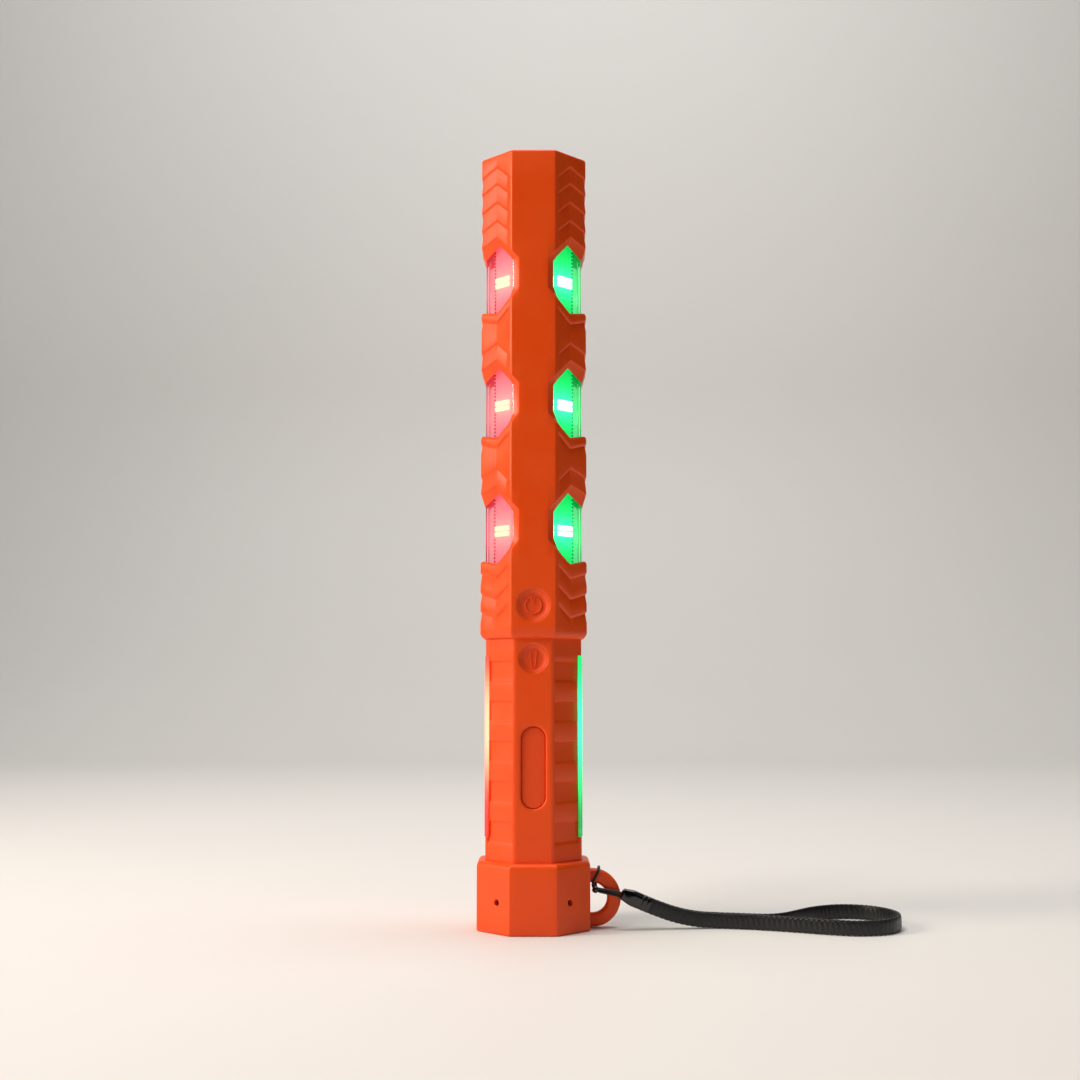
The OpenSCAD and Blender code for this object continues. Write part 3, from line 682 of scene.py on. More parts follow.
BARREL = 21.2                            # apothem of the sleeve's faces
HALF = BARREL * HALF_FACE                # half the width of one of its faces
SLEEVE_IN = 19.35                        # apothem of its bore
POWER_Z = 126.4                          # height of the power button's middle
POWER_HOLE = 12.5
NOTCH = HALF - 2.8                       # the windows reach in to here on the front and back
PEAKS = (275.6, 225.0, 174.4)
WINDOW = (10.3, 7.5, 0.0, 3.0)           # fall of a window's top edge, at the row places below
SILL = (21.6, 25.2, 31.4, 29.9)          # and of its lower edge
ROW_PLACES = (NOTCH, HALF, 2 * HALF, 3 * HALF)
PATCH_HALF = 7.4                         # half width and rows of the rectangle left out of the
PATCH_ROWS = (119.0, 133.8)              # wall for the power button's hole
ALL, LIP, CHEVRON = 0, 1, 2              # kinds of row: level, a window's edge, a chevron


def level(z, depth, kind=ALL):
    """A row that is level all round."""
    return (z, z, z, z, depth, kind)


def vee(z, depth):
    """A row that dips to z in the middle of each diagonal face."""
    return (z + 6.3, z + 6.3, z, z + 2.2, depth, CHEVRON)


def ridge(z, depth):
    """A row that rises to z in the middle of each diagonal face."""
    return (z - 6.8, z - 6.8, z, z - 3.0, depth, CHEVRON)


def stepped(row, z):
    """A soft step: the surface above z overhangs the one below it."""
    return [row(z - 0.75, 0.62), row(z - 0.3, 0.44), row(z + 0.1, 0.12), row(z + 0.5, 0)]


def edge_of(peak, falls, rise, depth):
    """A row along a window's edge, rise above it."""
    return (*(peak - fall + rise for fall in falls), depth, LIP)


def sleeve_rows():
    """The sleeve's rows from its foot up, each as heights at the row places, depth and kind."""
    rows = [level(113.55, 1.78), level(113.7, 1.4), level(114.2, 0.8), level(114.9, 0.3),
        level(115.8, 0), (119.0, 119.0, 116.5, 117.4, 0, CHEVRON), vee(117.5, 0),
        *stepped(vee, 122.1), vee(125.2, 0), vee(127.5, 0.4), *stepped(vee, 129.5),
        vee(132.5, 0), *stepped(vee, 137.5)]
    for peak in PEAKS[::-1]:
        rows += [edge_of(peak, SILL, -1.4, 0), edge_of(peak, SILL, -0.8, 0.12),
            edge_of(peak, SILL, -0.3, 0.4), edge_of(peak, SILL, 0, 0.9),
            edge_of(peak, WINDOW, 0, 0.3), edge_of(peak, WINDOW, 0.2, 0.08),
            edge_of(peak, WINDOW, 0.6, 0), *stepped(ridge, peak + 7.0)]
        if peak != PEAKS[0]:
            rows += [vee(peak + 11.0, 0), *stepped(vee, peak + 15.3)]
    for z in (290.3, 298.0, 305.0):
        rows += stepped(ridge, z)
    return rows + [level(308.9, 0), level(309.5, 0.14), level(309.85, 0.45), level(310, 0.95)]


def corner_places(corner, radius):
    """Places round a corner: the ends of its arc and five between."""
    reach = radius * HALF_FACE
    return [corner + reach * t for t in (-1, -0.66, -0.33, 0, 0.33, 0.66, 1)]


def build_sleeve():
    """The sleeve as a wall between two grids. Rows follow the windows' and chevrons' lines;
    the outer surface is the octagon moved in by each row's depth, which fades out before the
    front and back faces. The windows' walls slope from the outer edge to the clear tube, and
    bulge a little on the way."""
    rows = np.array(sleeve_rows())
    quarter = [0, 1.9, 3.8, NOTCH - 0.6, NOTCH - 0.2, NOTCH, PATCH_HALF, 10.0, 10.5, 11.0, 12.2,
        14.9, 2 * HALF - 0.5, 2 * HALF, 2 * HALF + 0.5, 20.2, 23.2, 28.8, 32.0, 4 * HALF]
    quarter += corner_places(HALF, 1.0) + corner_places(3 * HALF, 1.0)
    u = all_round(quarter, HALF)[:-1]
    w = folded(u, HALF)
    z = np.stack([np.interp(w, ROW_PLACES, row[:4]) for row in rows])
    kind = rows[:, 5][:, None]
    share = np.where(kind == ALL, 1.0, np.where(kind == LIP, w >= NOTCH - 1e-6,
        smooth((w - HALF - 0.9) / 1.3)))
    depth = rows[:, 4][:, None] * share
    centre_row = np.array([row[2] for row in rows])
    keep = np.ones((len(rows) - 1, len(u)), bool)
    wide = (w >= NOTCH - 1e-6) & (np.roll(w, -1) >= NOTCH - 1e-6)
    inner_z = z.copy()
    for peak in PEAKS:
        low = int(np.argmin(np.abs(centre_row - (peak - SILL[2]))))
        keep[low] &= ~wide
        roll = np.interp(NOTCH - w, (0, 0.2, 0.6), (0.3, 0.08, 0)) * (w <= NOTCH + 1e-6)
        depth[low:low + 2] = np.maximum(depth[low:low + 2], roll)
        inner_z[low + 1] -= np.interp(w, ROW_PLACES, (0.9, 1.4, 3.1, 5.0))
    patch = np.zeros_like(keep)
    cols = cell_range(u, -PATCH_HALF, PATCH_HALF)
    row_cells = cell_range(z[:, cols[0]], *PATCH_ROWS)
    patch[row_cells[0]:row_cells[1], cols[0]:cols[1]] = True
    keep &= ~patch
    outer = np.stack([*octagon(np.broadcast_to(u, z.shape), HALF, BARREL - depth, 1.0, 1.0), z],
        -1)
    inner_w = np.interp(w, (0, NOTCH, 2 * HALF, 4 * HALF), (0, 8.62, 2 * HALF, 4 * HALF))
    inner_u = u + (inner_w - w) * np.where(np.mod(np.floor(u / (4 * HALF)), 2) == 0, 1, -1)
    inner = np.stack([*octagon(np.broadcast_to(inner_u, z.shape), HALF,
        np.full(z.shape, SLEEVE_IN), 0.3, 0.3), inner_z], -1)
    middle = (outer + inner) / 2
    middle[..., :2] *= 1.006
    skin = Skin()
    ids = shell(skin, [outer, middle, inner], keep, patch, wrap=True)
    rings = [ring((0, POWER_Z), -90, POWER_HOLE, POWER_HOLE, grow, out) for grow, out in (
        (1.0, BARREL), (0.7, BARREL - 0.03), (0.4, BARREL - 0.11), (0.15, BARREL - 0.22),
        (0, BARREL - 0.32), (0, SLEEVE_IN))]
    opening(skin, ids, row_cells, cols, (0, POWER_Z), -90, rings)
    return skin


piece("barrel_windowed_sleeve", build_sleeve(), orange_abs, "light_body",
    ["barrel_sleeve"])

# ---------------------------------------------------------------- grip

GRIP = 18.95                             # apothem of the grip's faces
GRIP_HALF = GRIP * HALF_FACE             # half the width of one of them
GRIP_IN = 16.55                          # apothem of its inside
GRIP_ROUND = 3.0                         # radius of the corners beside the front and back rails
GROOVES = 5
SEAT = 17.5                              # the clear strips sit against planes at this x
SEAT_SPAN = (36.0, 107.0)                # from this height to that
SLOT_SPAN = (39.0, 104.0)                # the same for the slots behind the strips
SLOT_HALF = 4.0                          # half the width of those slots
POCKET = (9.5, 31.8)                     # width and height of the charging cover's pocket
POCKET_Z = 63.5                          # and the height of its middle
POCKET_ROWS = (46.4, 80.45)              # rows of the rectangles left out of the wall for the
TORCH_ROWS = (99.2, 112.2)               # pocket and for the torch button's hole
FRAME_HALF = 6.35                        # half their width
SOCKET_Z = 70                            # height of the charging socket's middle
TORCH_Z = 105.6                          # height of the torch button's middle
TORCH_HOLE = 11


def grip_rows():
    """Heights of the grip's rows, how far each is sunk all round, and its share of the grooves'
    depth."""
    rows = [(6.2, -0.15, 0), (26.9, -0.15, 0), (27.0, 0, 0), (SEAT_SPAN[0] - 0.05, 0, 1),
        (SEAT_SPAN[0], 0, 1), (SLOT_SPAN[0], 0, 1), (POCKET_ROWS[0], 0, 0),
        (TORCH_ROWS[0], 0, 1), (SLOT_SPAN[1], 0, 1), (SEAT_SPAN[1] - 0.05, 0, 0),
        (SEAT_SPAN[1], 0, 0), (TORCH_ROWS[1], 0, 0), (113.45, 0, 0), (113.5, -0.35, 0),
        (119.5, -0.35, 0)]
    for k in range(GROOVES):
        foot = 34.1 + 15.65 * k
        top = 42.4 + 15.58 * k
        rows += [(foot - 0.6, 0, 0), (foot - 0.15, 0, 0.2), (foot + 0.3, 0, 0.85),
            (foot + 0.7, 0, 1), (top - 0.12, 0, 1), (top, 0, 0.2), (top + 0.25, 0, 0)]
    return np.array(sorted(rows))


def build_grip(front):
    """One half of the grip as a wall between two grids. The diagonal faces are sunk a little
    beside the raised front rail and further in five grooves, whose upper edges are sharp and
    lower ones slope. Beside the clear strips the outside is cut back to their seat."""
    rows = grip_rows()
    seat_place = GRIP_HALF * (1 + 2 * (SEAT - GRIP_HALF) / (GRIP - GRIP_HALF))
    quarter = [0, 2.1, 4.2, FRAME_HALF, GRIP_HALF + 0.5, GRIP_HALF + 0.75, 10.4, 2 * GRIP_HALF,
        19.0, seat_place, seat_place + 0.02, 3 * GRIP_HALF - 1.3, 3 * GRIP_HALF - 1.0,
        4 * GRIP_HALF - SLOT_HALF, 4 * GRIP_HALF - 0.02]
    quarter += corner_places(GRIP_HALF, GRIP_ROUND)
    quarter += corner_places(3 * GRIP_HALF, 0.8)
    if front:
        u = all_round(quarter, GRIP_HALF, (0, 3))
    else:
        u = np.unique(np.round(np.concatenate([8 * GRIP_HALF - np.array(quarter),
            8 * GRIP_HALF + np.array(quarter)]), 5))
    w = folded(u, GRIP_HALF)
    z = np.broadcast_to(rows[:, :1], (len(rows), len(u)))
    share = smooth((w - GRIP_HALF - 0.5) / 0.25) * smooth((3 * GRIP_HALF - 1.0 - w) / 0.3)
    body = ((rows[:, 0] > 26.95) & (rows[:, 0] < 113.48))[:, None]
    depth = rows[:, 1:2] + share * body * (0.2 + 0.55 * rows[:, 2:])
    x, y = octagon(np.broadcast_to(u, z.shape), GRIP_HALF, GRIP - depth, GRIP_ROUND,
        0.8)
    beside = ((rows[:, 0] > SEAT_SPAN[0] - 0.02) & (rows[:, 0] < SEAT_SPAN[1] - 0.02))[:, None]
    x = np.where(beside, np.clip(x, -SEAT, SEAT), x)
    outer = np.stack([x, y, z], -1)
    inner = np.stack([*octagon(np.broadcast_to(u, z.shape), GRIP_HALF,
        np.full(z.shape, GRIP_IN), 1.2, 0.3), z], -1)
    keep = np.ones((len(rows) - 1, len(u) - 1), bool)
    slot_rows = cell_range(rows[:, 0], *SLOT_SPAN)
    slot_edge = 4 * GRIP_HALF - SLOT_HALF - 0.01
    in_slot = (w[:-1] > slot_edge) & (w[1:] > slot_edge)
    keep[slot_rows[0]:slot_rows[1], in_slot] = False
    patch = np.zeros_like(keep)
    skin = Skin()
    if front:
        cols = cell_range(u, -FRAME_HALF, FRAME_HALF)
        pocket_rows = cell_range(rows[:, 0], *POCKET_ROWS)
        torch_rows = cell_range(rows[:, 0], *TORCH_ROWS)
        for low, high in (pocket_rows, torch_rows):
            patch[low:high, cols[0]:cols[1]] = True
    keep &= ~patch
    ids = shell(skin, [outer, inner], keep, patch, wrap=False)
    if front:
        rings = [ring((0, TORCH_Z), -90, TORCH_HOLE, TORCH_HOLE, grow, out) for grow, out in (
            (0.8, GRIP), (0.55, GRIP - 0.04), (0.3, GRIP - 0.13), (0.1, GRIP - 0.25),
            (0, GRIP - 0.32), (0, GRIP_IN))]
        opening(skin, ids, torch_rows, cols, (0, TORCH_Z), -90, rings)
        rings = [ring((0, POCKET_Z), -90, *POCKET, grow, out) for grow, out in (
            (0.75, GRIP), (0.5, GRIP - 0.05), (0.25, GRIP - 0.18), (0.06, GRIP - 0.4),
            (0, GRIP - 0.65), (0, 16.6))]
        rings += [ring((0, SOCKET_Z), -90, 9.2, 3.6, 0, out) for out in (16.6, 15.3)]
        rings += [ring((0, POCKET_Z), -90, 11, 33.4, 0, out) for out in (15.3, GRIP_IN)]
        opening(skin, ids, pocket_rows, cols, (0, POCKET_Z), -90, rings)
    return skin


piece("grip_front_half", build_grip(True), orange_abs, "light_body",
    ["handle_front_shell"])
piece("grip_back_half", build_grip(False), orange_abs, "light_body",
    ["handle_back_shell"])

# ---------------------------------------------------------------- base cap and loop

CAP = 22.2                               # apothem of the cap's faces
CAP_HALF = CAP * HALF_FACE               # half the width of one of them
CAP_IN = 19.15                           # apothem of its inside
CAP_TOP = 27
CAP_BEVEL = 2.1                          # radius of its rolled upper edge
CAP_ROUND = 1.1                          # radius of its corners
CAP_FLOOR = 6.1                          # height of its floor's upper side
SCREW_Z = 12
SCREW_SHIFT = 2                          # the screw holes lie this far off the faces' middles
SCREW_HOLE = 2.5
MAGNET_SEAT = 13                         # radius and depth of the magnet's round seat in the
MAGNET_DEPTH = 4.6                       # underside
LOOP_MIDDLE = (23.2, 0, 11.7)
LOOP_CUT = 21.8                          # the loop ends inside the cap's wall, at this x


def build_cap():
    """The cap as a wall between two grids over a floor, with four small screw holes on the
    diagonals and a round seat for the magnet underneath."""
    bevel = [(CAP_TOP - CAP_BEVEL * (1 - math.sin(a)), CAP_BEVEL * (1 - math.cos(a)))
        for a in np.radians((0, 18, 36, 54, 72, 90))]
    rows = np.array([(0, 0.8), (0.1, 0.42), (0.4, 0.12), (0.8, 0), (CAP_FLOOR, 0), (9.6, 0),
        (14.4, 0), (20, 0)] + bevel)
    quarter = [0, 3, 6, 2 * CAP_HALF - 4.4, 2 * CAP_HALF - 2, 2 * CAP_HALF + 0.4,
        2 * CAP_HALF + 3, 3.4 * CAP_HALF, 4 * CAP_HALF]
    quarter += corner_places(CAP_HALF, CAP_ROUND) + corner_places(3 * CAP_HALF, CAP_ROUND)
    u = all_round(quarter, CAP_HALF)[:-1]
    z = np.broadcast_to(rows[:, :1], (len(rows), len(u)))
    shape = z.shape
    outer = np.stack([*octagon(np.broadcast_to(u, shape), CAP_HALF,
        np.broadcast_to(CAP - rows[:, 1:], shape), CAP_ROUND, CAP_ROUND), z], -1)
    inner_z = np.maximum(z, CAP_FLOOR + np.arange(len(rows))[:, None] * 0.001)
    inner = np.stack([*octagon(np.broadcast_to(u, shape), CAP_HALF,
        np.full(shape, CAP_IN), 0.5, 0.5), inner_z], -1)
    keep = np.ones((len(rows) - 1, len(u)), bool)
    patch = np.zeros_like(keep)
    row_cells = cell_range(rows[:, 0], 9.6, 14.4)
    holes = []
    for way, shift in ((-45, -1), (45, 1), (135, -1), (-135, 1)):
        centre = (way + 90) / 45 * 2 * CAP_HALF + shift * SCREW_SHIFT
        centre -= 16 * CAP_HALF * (centre > 8 * CAP_HALF)
        cols = cell_range(u, centre - 2.41, centre + 2.41)
        patch[row_cells[0]:row_cells[1], cols[0]:cols[1]] = True
        holes.append((way, shift * SCREW_SHIFT, cols))
    keep &= ~patch
    skin = Skin()
    ids = shell(skin, [outer, inner], keep, patch, wrap=True, foot=False)
    for way, shift, cols in holes:
        rings = [ring((shift, SCREW_Z), way, SCREW_HOLE, SCREW_HOLE, grow, out, 32)
            for grow, out in ((0.3, CAP), (0.12, CAP - 0.06), (0, CAP - 0.22), (0, CAP_IN))]
        opening(skin, ids, row_cells, cols, (shift, SCREW_Z), way, rings)
    skin.lid(ids[-1][0])
    turn = np.arange(64) * TAU / 64
    rim = np.stack([MAGNET_SEAT * np.cos(turn), MAGNET_SEAT * np.sin(turn), 0 * turn], -1)
    seat_ids = skin.add([rim, rim + (0, 0, MAGNET_DEPTH)])
    foot = ids[0][0]
    places = np.concatenate(skin.points)
    skin.zip(foot, seat_ids[0], np.arctan2(places[foot, 1], places[foot, 0]),
        np.arctan2(places[seat_ids[0], 1], places[seat_ids[0], 0]), flip=True)
    skin.bridge(seat_ids[:, ::-1])
    skin.lid(seat_ids[1][::-1])
    return skin


piece("base_octagon_cap", build_cap(), orange_abs, "light_body", ["base_cap"])


def build_loop():
    """The strap loop: a flat ring with rolled edges turned about its own middle, to be cut off
    where it enters the cap's wall once it is made."""
    r0, r1, half, roll = 5.9, 11.35, 2.3, 1.5
    a = np.linspace(0, math.pi / 2, 7)
    quarter = np.stack([r1 - roll + roll * np.cos(a), half - roll + roll * np.sin(a)], -1)
    inner = np.stack([r0 + roll - roll * np.sin(a), half - roll + roll * np.cos(a)], -1)
    upper = np.concatenate([quarter, inner])
    lower = upper[::-1] * (1, -1)
    skin = Skin()
    revolve(skin, np.concatenate([upper, lower]), LOOP_MIDDLE, (0, 1, 0), 96, closed=True)
    return skin


loop = piece("strap_loop", build_loop(), orange_abs, "light_body",
    ["strap_ring"])
work = bmesh.new()
work.from_mesh(loop.data)
bmesh.ops.bisect_plane(work, geom=work.verts[:] + work.edges[:] + work.faces[:], dist=1e-7,
    plane_co=(LOOP_CUT * MM, 0, 0), plane_no=(-1, 0, 0), clear_outer=True)
bmesh.ops.holes_fill(work, edges=[e for e in work.edges if e.is_boundary], sides=0)
work.to_mesh(loop.data)
work.free()
loop.data.set_sharp_from_angle(angle=math.radians(40))

# ---------------------------------------------------------------- buttons and cover

DISH = 1.1                               # depth of a button's face below its rim
STEM_END = 15.3                          # the buttons' stems end this far from the axis
COVER = (9.3, 31.6)                      # width and height of the charging cover
COVER_FOOT = 47.7
COVER_FACE = -18.1                       # y of its front
COVER_BACK = -16.68
COVER_STIFF = 56                         # the cover bends only below this height

def line_ridge(skin, path, face, width=0.42, height=0.26, closed=False):
    """A fine raised line on a button's face: a half-round section along a path given as
    (x, z), standing on the plane y = face."""
    path = np.asarray(path, float)
    points = np.stack([path[:, 0], np.full(len(path), face), path[:, 1]], -1)
    a = np.linspace(0, math.pi, 7)
    section = np.concatenate([np.stack([width / 2 * np.cos(a), height * np.sin(a)], -1),
        [[-width / 2, -0.15], [width / 2, -0.15]]])
    sweep(skin, points, section, (0, -1, 0), closed=closed)


def arc(radius, start, end, count, middle=(0, 0)):
    """Points of an arc between two turns in degrees."""
    a = np.radians(np.linspace(start, end, count))
    return np.stack([middle[0] + radius * np.cos(a), middle[1] + radius * np.sin(a)], -1)


def tapered_loop(top, bottom, wide, narrow):
    """A closed outline that narrows downwards, with round ends."""
    up = arc(wide / 2, 0, 180, 12, (0, top - wide / 2))
    down = arc(narrow / 2, 180, 360, 10, (0, bottom + narrow / 2))
    return np.concatenate([up, down])


def button_skin(diameter, z, rim, back, stem_end):
    """A round button: a dished face whose wall rolls into its rim, a flange behind and a stem,
    as one profile turned about the button's axis. rim, back and stem_end are how far the
    button's rim, the wall's inside and the stem's end are from the light's axis."""
    r = diameter / 2
    profile = [(0, -1.12), (r - 2.1, -1.1), (r - 1.6, -1.04), (r - 1.15, -0.9),
        (r - 0.75, -0.7), (r - 0.4, -0.49), (r - 0.12, -0.36), (r, -0.34)]
    skin = Skin()
    front = [(radius, rim + depth) for radius, depth in profile]
    behind = [(r, back - 0.05), (r + 0.6, back - 0.05), (r + 0.6, back - 0.85), (2.2, back - 0.85),
        (2.2, stem_end), (0, stem_end)]
    revolve(skin, (front + behind)[::-1], (0, 0, z), (0, -1, 0), 64)
    return skin


power_face = -(BARREL - DISH)
skin = button_skin(POWER_HOLE - 0.1, POWER_Z, BARREL, SLEEVE_IN, STEM_END)
line_ridge(skin, arc(3.15, 90 + 32, 450 - 32, 56) + (0, POWER_Z), power_face, 0.5, 0.34)
line_ridge(skin, tapered_loop(3.9, 0.8, 1.3, 0.75) + (0, POWER_Z), power_face, 0.32, 0.28, True)
piece("power_dished_button", skin, orange_silicone, "power_button",
    ["power_button"])

torch_face = -(GRIP - DISH)
skin = button_skin(TORCH_HOLE - 0.1, TORCH_Z, GRIP, GRIP_IN, STEM_END)
line_ridge(skin, tapered_loop(3.6, -3.6, 2.5, 1.4) + (0, TORCH_Z), torch_face, 0.36, 0.3, True)
for spot in (2.1, 0.2, -2.3):
    revolve(skin, [(0, -0.15), (0.33, -0.15), (0.33, 0), (0.2, 0.17), (0, 0.2)],
        (0, torch_face, TORCH_Z + spot), (0, -1, 0), 16)
piece("torch_dished_button", skin, orange_silicone, "torch_button",
    ["torch_button"])


def build_cover():
    """The charging cover: an upright slot-shaped slab with a rolled front edge and rows across
    it where it bends. Each row runs from edge to edge, and the slab's half width at a height
    is that of its round ends."""
    low, high = COVER_FOOT, COVER_FOOT + COVER[1]
    r = COVER[0] / 2
    ends = 1 - np.cos(np.linspace(0, math.pi / 2, 9))
    rows = np.concatenate([low + 0.02 + (r - 0.02) * ends,
        np.linspace(low + r, COVER_STIFF, 12)[1:], np.linspace(COVER_STIFF, high - r, 12)[1:],
        high - 0.02 - (r - 0.02) * ends[::-1][1:]])
    t = np.clip(np.maximum(low + r - rows, rows - high + r), 0, r) / r
    half = r * np.sqrt(np.clip(1 - t * t, 0.0005, 1))
    skin = Skin()
    section = np.array([(1, COVER_BACK), (1, COVER_FACE + 0.4), (0.985, COVER_FACE + 0.2),
        (0.95, COVER_FACE + 0.06), (0.89, COVER_FACE), (0.5, COVER_FACE), (0, COVER_FACE)])
    section = np.concatenate([section, section[-2::-1] * (-1, 1)])
    x = half[:, None] * section[:, 0]
    y = np.broadcast_to(section[:, 1], x.shape)
    inset = np.interp(y - COVER_FACE, (0, 0.06, 0.2, 0.4), (0.45, 0.25, 0.08, 0))
    middle = (low + high) / 2
    z = rows[:, None] + np.zeros_like(x)
    z = middle + (z - middle) * (1 - inset / (high - middle))
    ids = skin.add(np.stack([x, y, z], -1))
    skin.bridge(ids[:, ::-1])
    skin.lid(ids[0])
    skin.lid(ids[-1][::-1])
    return skin


cover_skin = build_cover()
# The tongue that plugs the socket, and the pin that holds the cover's fixed end: the width,
# height, middle and tip's distance from the axis of each
for width, height, z, tip in ((7.8, 2.2, SOCKET_Z, 15.7), (2.4, 2.4, 50.0, 15.3)):
    plug = [ring((0, z), -90, width, height, grow, out, 32)
        for grow, out in ((-0.25, tip), (0, tip + 0.25), (0, 16.8))]
    numbers = np.stack([cover_skin.add(r) for r in plug])
    cover_skin.bridge(numbers)
    cover_skin.lid(numbers[0][::-1])
    cover_skin.lid(numbers[-1])
cover = piece("charging_cover", cover_skin, orange_silicone, "light_body",
    ["port_cover", "port_cover_root"])
cover.parent = None
del cover["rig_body"]
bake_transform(cover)

# ---------------------------------------------------------------- torch reflector


REFLECTOR_RADII = (3.8, 15.6)            # inside the cup, at its foot and at its mouth
REFLECTOR_WALL = 0.9
FOCAL_LENGTH = 4.95


def build_reflector(foot):
    """A thin cup, a parabola turned about the barrel's axis: its height above the foot is the
    rise in the radius squared, over four focal lengths."""
    radius = np.linspace(*REFLECTOR_RADII, 40)
    inner = np.stack([radius, foot + (radius ** 2 - radius[0] ** 2) / (4 * FOCAL_LENGTH)], -1)
    skin = Skin()
    revolve(skin, np.concatenate([inner + (REFLECTOR_WALL, 0), inner[::-1]]), (0, 0, 0),
        (0, 0, 1), 96, closed=True)
    return skin


piece("torch_reflector_cup", build_reflector(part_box("torch_reflector")[0][2] / MM),
    bright_plating, "light_body", ["torch_reflector"])

# ---------------------------------------------------------------- lights and inner parts

set_material(["barrel_lens"], clear_polycarbonate_painted_glow)
set_material(["handle_lens_left"], red_strip_painted_glow)
set_material(["handle_lens_right"], green_strip_painted_glow)
set_material(["torch_lens"], clear_acrylic)
set_material(["barrel_collar", "torch_bezel", "battery_cradle"], black_abs)
set_material(["led_core"], stalk_painted_glow)
set_material(["led_board_front_left", "led_board_back_left", "handle_strip_left"], red_board_painted_glow)
set_material(["led_board_front_right", "led_board_back_right", "handle_strip_right"],
    green_board_painted_glow)
set_material(["leds_front_left", "leds_back_left", "handle_leds_left"], red_lamp)
set_material(["leds_front_right", "leds_back_right", "handle_leds_right"], green_lamp)
set_material(["torch_led"], white_lamp)
set_material(["torch_board"], white_abs)
set_material(["torch_gasket", "base_pad"], black_rubber)
set_material(["power_switch", "torch_switch", "charge_socket", "board_screws",
    "battery_spring"], steel)
set_material(["battery_contact"], gold_plate)
set_material(["base_screws"], dark_steel)
set_material(["base_magnet"], magnet_nickel)
set_material(["control_board"], green_board)
set_material(["battery_cell"], cell_wrap)
set_material(["wires"], red_wire)


CHIP_FOOT = (0.24, 0.4)                  # half width and half height of a chip at the board
CHIP_TOP = (0.2, 0.36)                   # and at its top
CHIP_PITCH = 1.45
CHIP_SPAN = (141.5, 287)                 # the rows of chips run between these heights
CHIP_OUT = (16.45, 16.9)                 # a chip's foot and top are this far from the axis
CHIP_OFFSET = 4.4                        # from the board's middle towards its outer edge


def chip_row(way, offset):
    """A row of small chips up one edge of a light board, all copies of one box whose top is a
    little smaller than its foot. offset is how far the row is from the board's middle."""
    corners = np.array([[-1, -1], [1, -1], [1, 1], [-1, 1]], float)
    z = np.arange(*CHIP_SPAN, CHIP_PITCH)
    middles = np.stack([np.full(len(z), offset), z], -1)
    flat = np.stack([corners * CHIP_FOOT, corners * CHIP_TOP])[None] + middles[:, None, None]
    out = np.array(CHIP_OUT)[None, :, None] + np.zeros(flat.shape[:-1])
    a = math.radians(way)
    x = out * math.cos(a) - flat[..., 0] * math.sin(a)
    y = out * math.sin(a) + flat[..., 0] * math.cos(a)
    skin = Skin()
    ids = skin.add(np.stack([x, y, flat[..., 1]], -1))
    here, there = ids, np.roll(ids, -1, 2)
    skin.faces.append(np.stack([here[:, 0], there[:, 0], there[:, 1], here[:, 1]], -1)
        .reshape(-1, 4))
    skin.faces.append(ids[:, 1])
    skin.faces.append(ids[:, 0, ::-1])
    return skin


for name, way, sign, material in (("front_left", -135, -1, dark_chip_painted_red_light),
        ("front_right", -45, 1, dark_chip_painted_green_light), ("back_right", 45, -1, dark_chip_painted_green_light),
        ("back_left", 135, 1, dark_chip_painted_red_light)):
    piece("board_chips_" + name, chip_row(way, sign * CHIP_OFFSET), material, "light_body")


def rounded(name, width, segments):
    """Rolls the edges of a CAD node: its loose triangles are welded, then bevelled."""
    node = frame["nodes"][name]
    node.modifiers.new("weld", "WELD").merge_threshold = 1e-6
    bevel = node.modifiers.new("bevel", "BEVEL")
    bevel.width = width * MM
    bevel.segments = segments
    bevel.limit_method = "ANGLE"
    bevel.angle_limit = math.radians(30)


for name in ("handle_lens_left", "handle_lens_right"):
    rounded(name, 0.45, 3)
rounded("barrel_lens", 0.5, 3)

# ---------------------------------------------------------------- floor and light


STAGE_REACH = 9.0                        # metres, to both sides and towards the camera
STAGE_WALL = 1.8                         # y of the upright wall, in metres
STAGE_TOP = 4.0
STAGE_ARC = 0.6                          # radius of the bend between floor and wall


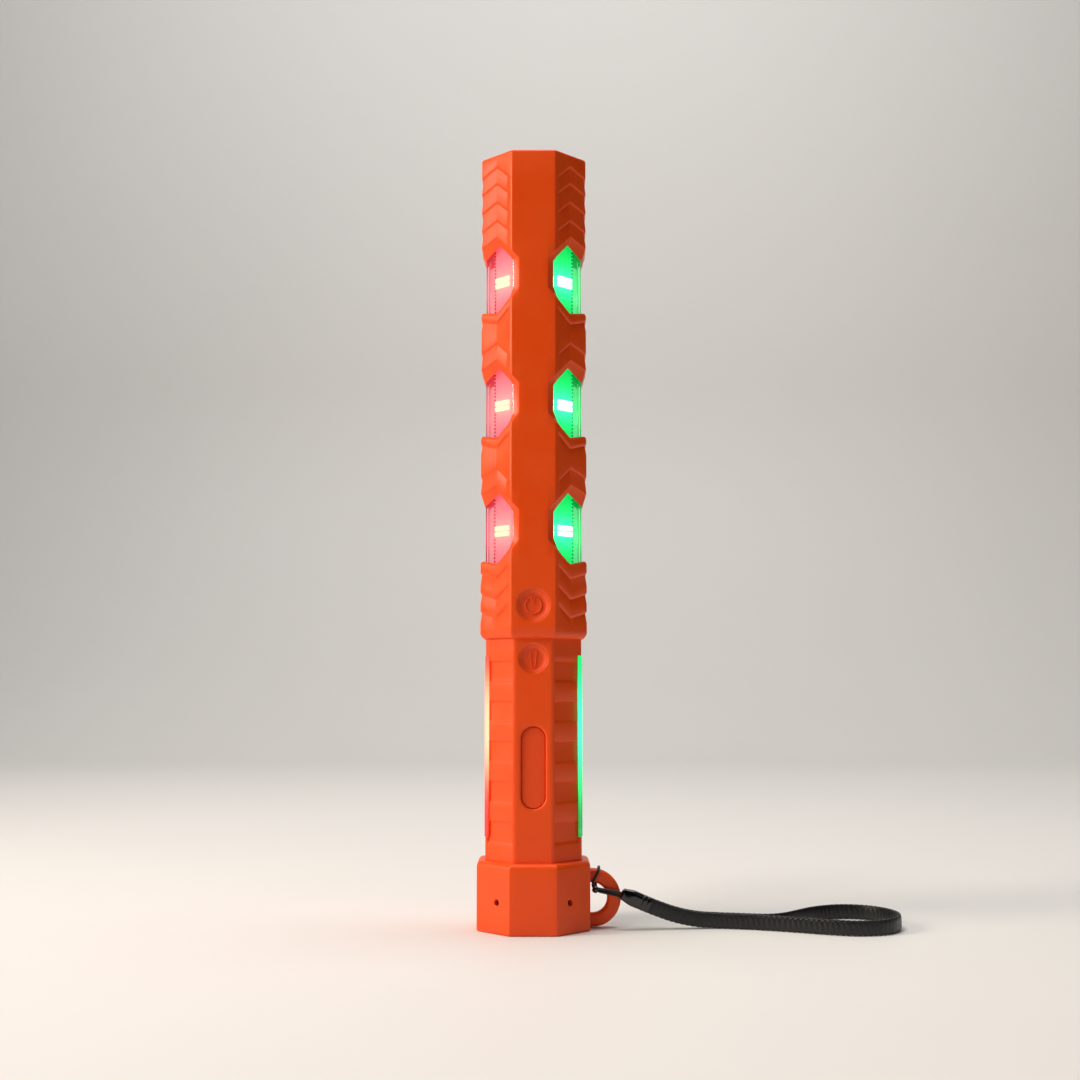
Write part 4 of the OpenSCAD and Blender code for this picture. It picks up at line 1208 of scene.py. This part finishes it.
def stage_sheet():
    """The floor and backdrop: level, then an arc up to an upright wall."""
    a = np.linspace(0, math.pi / 2, 24)
    y = np.concatenate([[-STAGE_REACH], STAGE_WALL - STAGE_ARC + STAGE_ARC * np.sin(a),
        [STAGE_WALL]])
    z = np.concatenate([[0], STAGE_ARC - STAGE_ARC * np.cos(a), [STAGE_TOP]])
    x = np.array([-STAGE_REACH, STAGE_REACH])
    points = np.stack([np.broadcast_to(x[:, None], (2, len(y))),
        np.broadcast_to(y, (2, len(y))), np.broadcast_to(z, (2, len(y)))], -1)
    n = len(y)
    k = np.arange(n - 1)
    faces = np.stack([k, k + n, k + n + 1, k + 1], -1)
    mesh = bpy.data.meshes.new("stage")
    mesh.from_pydata(points.reshape(-1, 3).tolist(), [], faces.tolist())
    mesh.polygons.foreach_set("use_smooth", np.ones(len(faces), bool))
    return mesh


# Matt paper-faced board: an even, warm off-white
pale = finish_of("pale_matt_board", ("#DCD9D5", "#E0DDD9"), 0.6, 2.0, 0.02, patch=400.0)
stage = bpy.data.objects.new("stage", stage_sheet())
stage.data.materials.append(pale)
bpy.context.scene.collection.objects.link(stage)


def soft_light(name, place, aim, size, power, colour, spread=180):
    """A square area light that looks at a point. spread is its beam's whole angle, in degrees."""
    data = bpy.data.lights.new(name, "AREA")
    data.shape = "RECTANGLE"
    data.size, data.size_y = size
    data.energy = power
    data.spread = math.radians(spread)
    data.color = paint(colour)[:3]
    made = bpy.data.objects.new(name, data)
    made.location = place
    way = np.array(aim) - np.array(place)
    made.rotation_euler = (math.atan2(math.hypot(way[0], way[1]), -way[2]), 0,
        math.atan2(way[0], -way[1]) + math.pi)
    made.visible_camera = False
    bpy.context.scene.collection.objects.link(made)


MIDDLE = (0, 0, 0.15)
soft_light("key", (-1.15, -0.36, 0.6), MIDDLE, (0.4, 0.6), 6.2, "#FFF1E2", spread=120)
soft_light("top", (-0.45, -0.38, 1.25), MIDDLE, (0.3, 0.3), 5.2, "#FFF6EC")
soft_light("fill", (0.9, -1.0, 0.7), MIDDLE, (1.0, 1.0), 1.2, "#EAF1FF")
soft_light("backdrop", (0, 0.2, 2.2), (0, 1.3, 0.2), (1.6, 0.8), 38, "#FFFFFF")
world = bpy.data.worlds.new("studio")
world.use_nodes = True
world.node_tree.nodes["Background"].inputs["Color"].default_value = paint("#D8DADD")
world.node_tree.nodes["Background"].inputs["Strength"].default_value = 0.8
bpy.context.scene.world = world
world.cycles_visibility.diffuse = False     # the pale room is seen, and adds no flat light
world.cycles_visibility.glossy = False
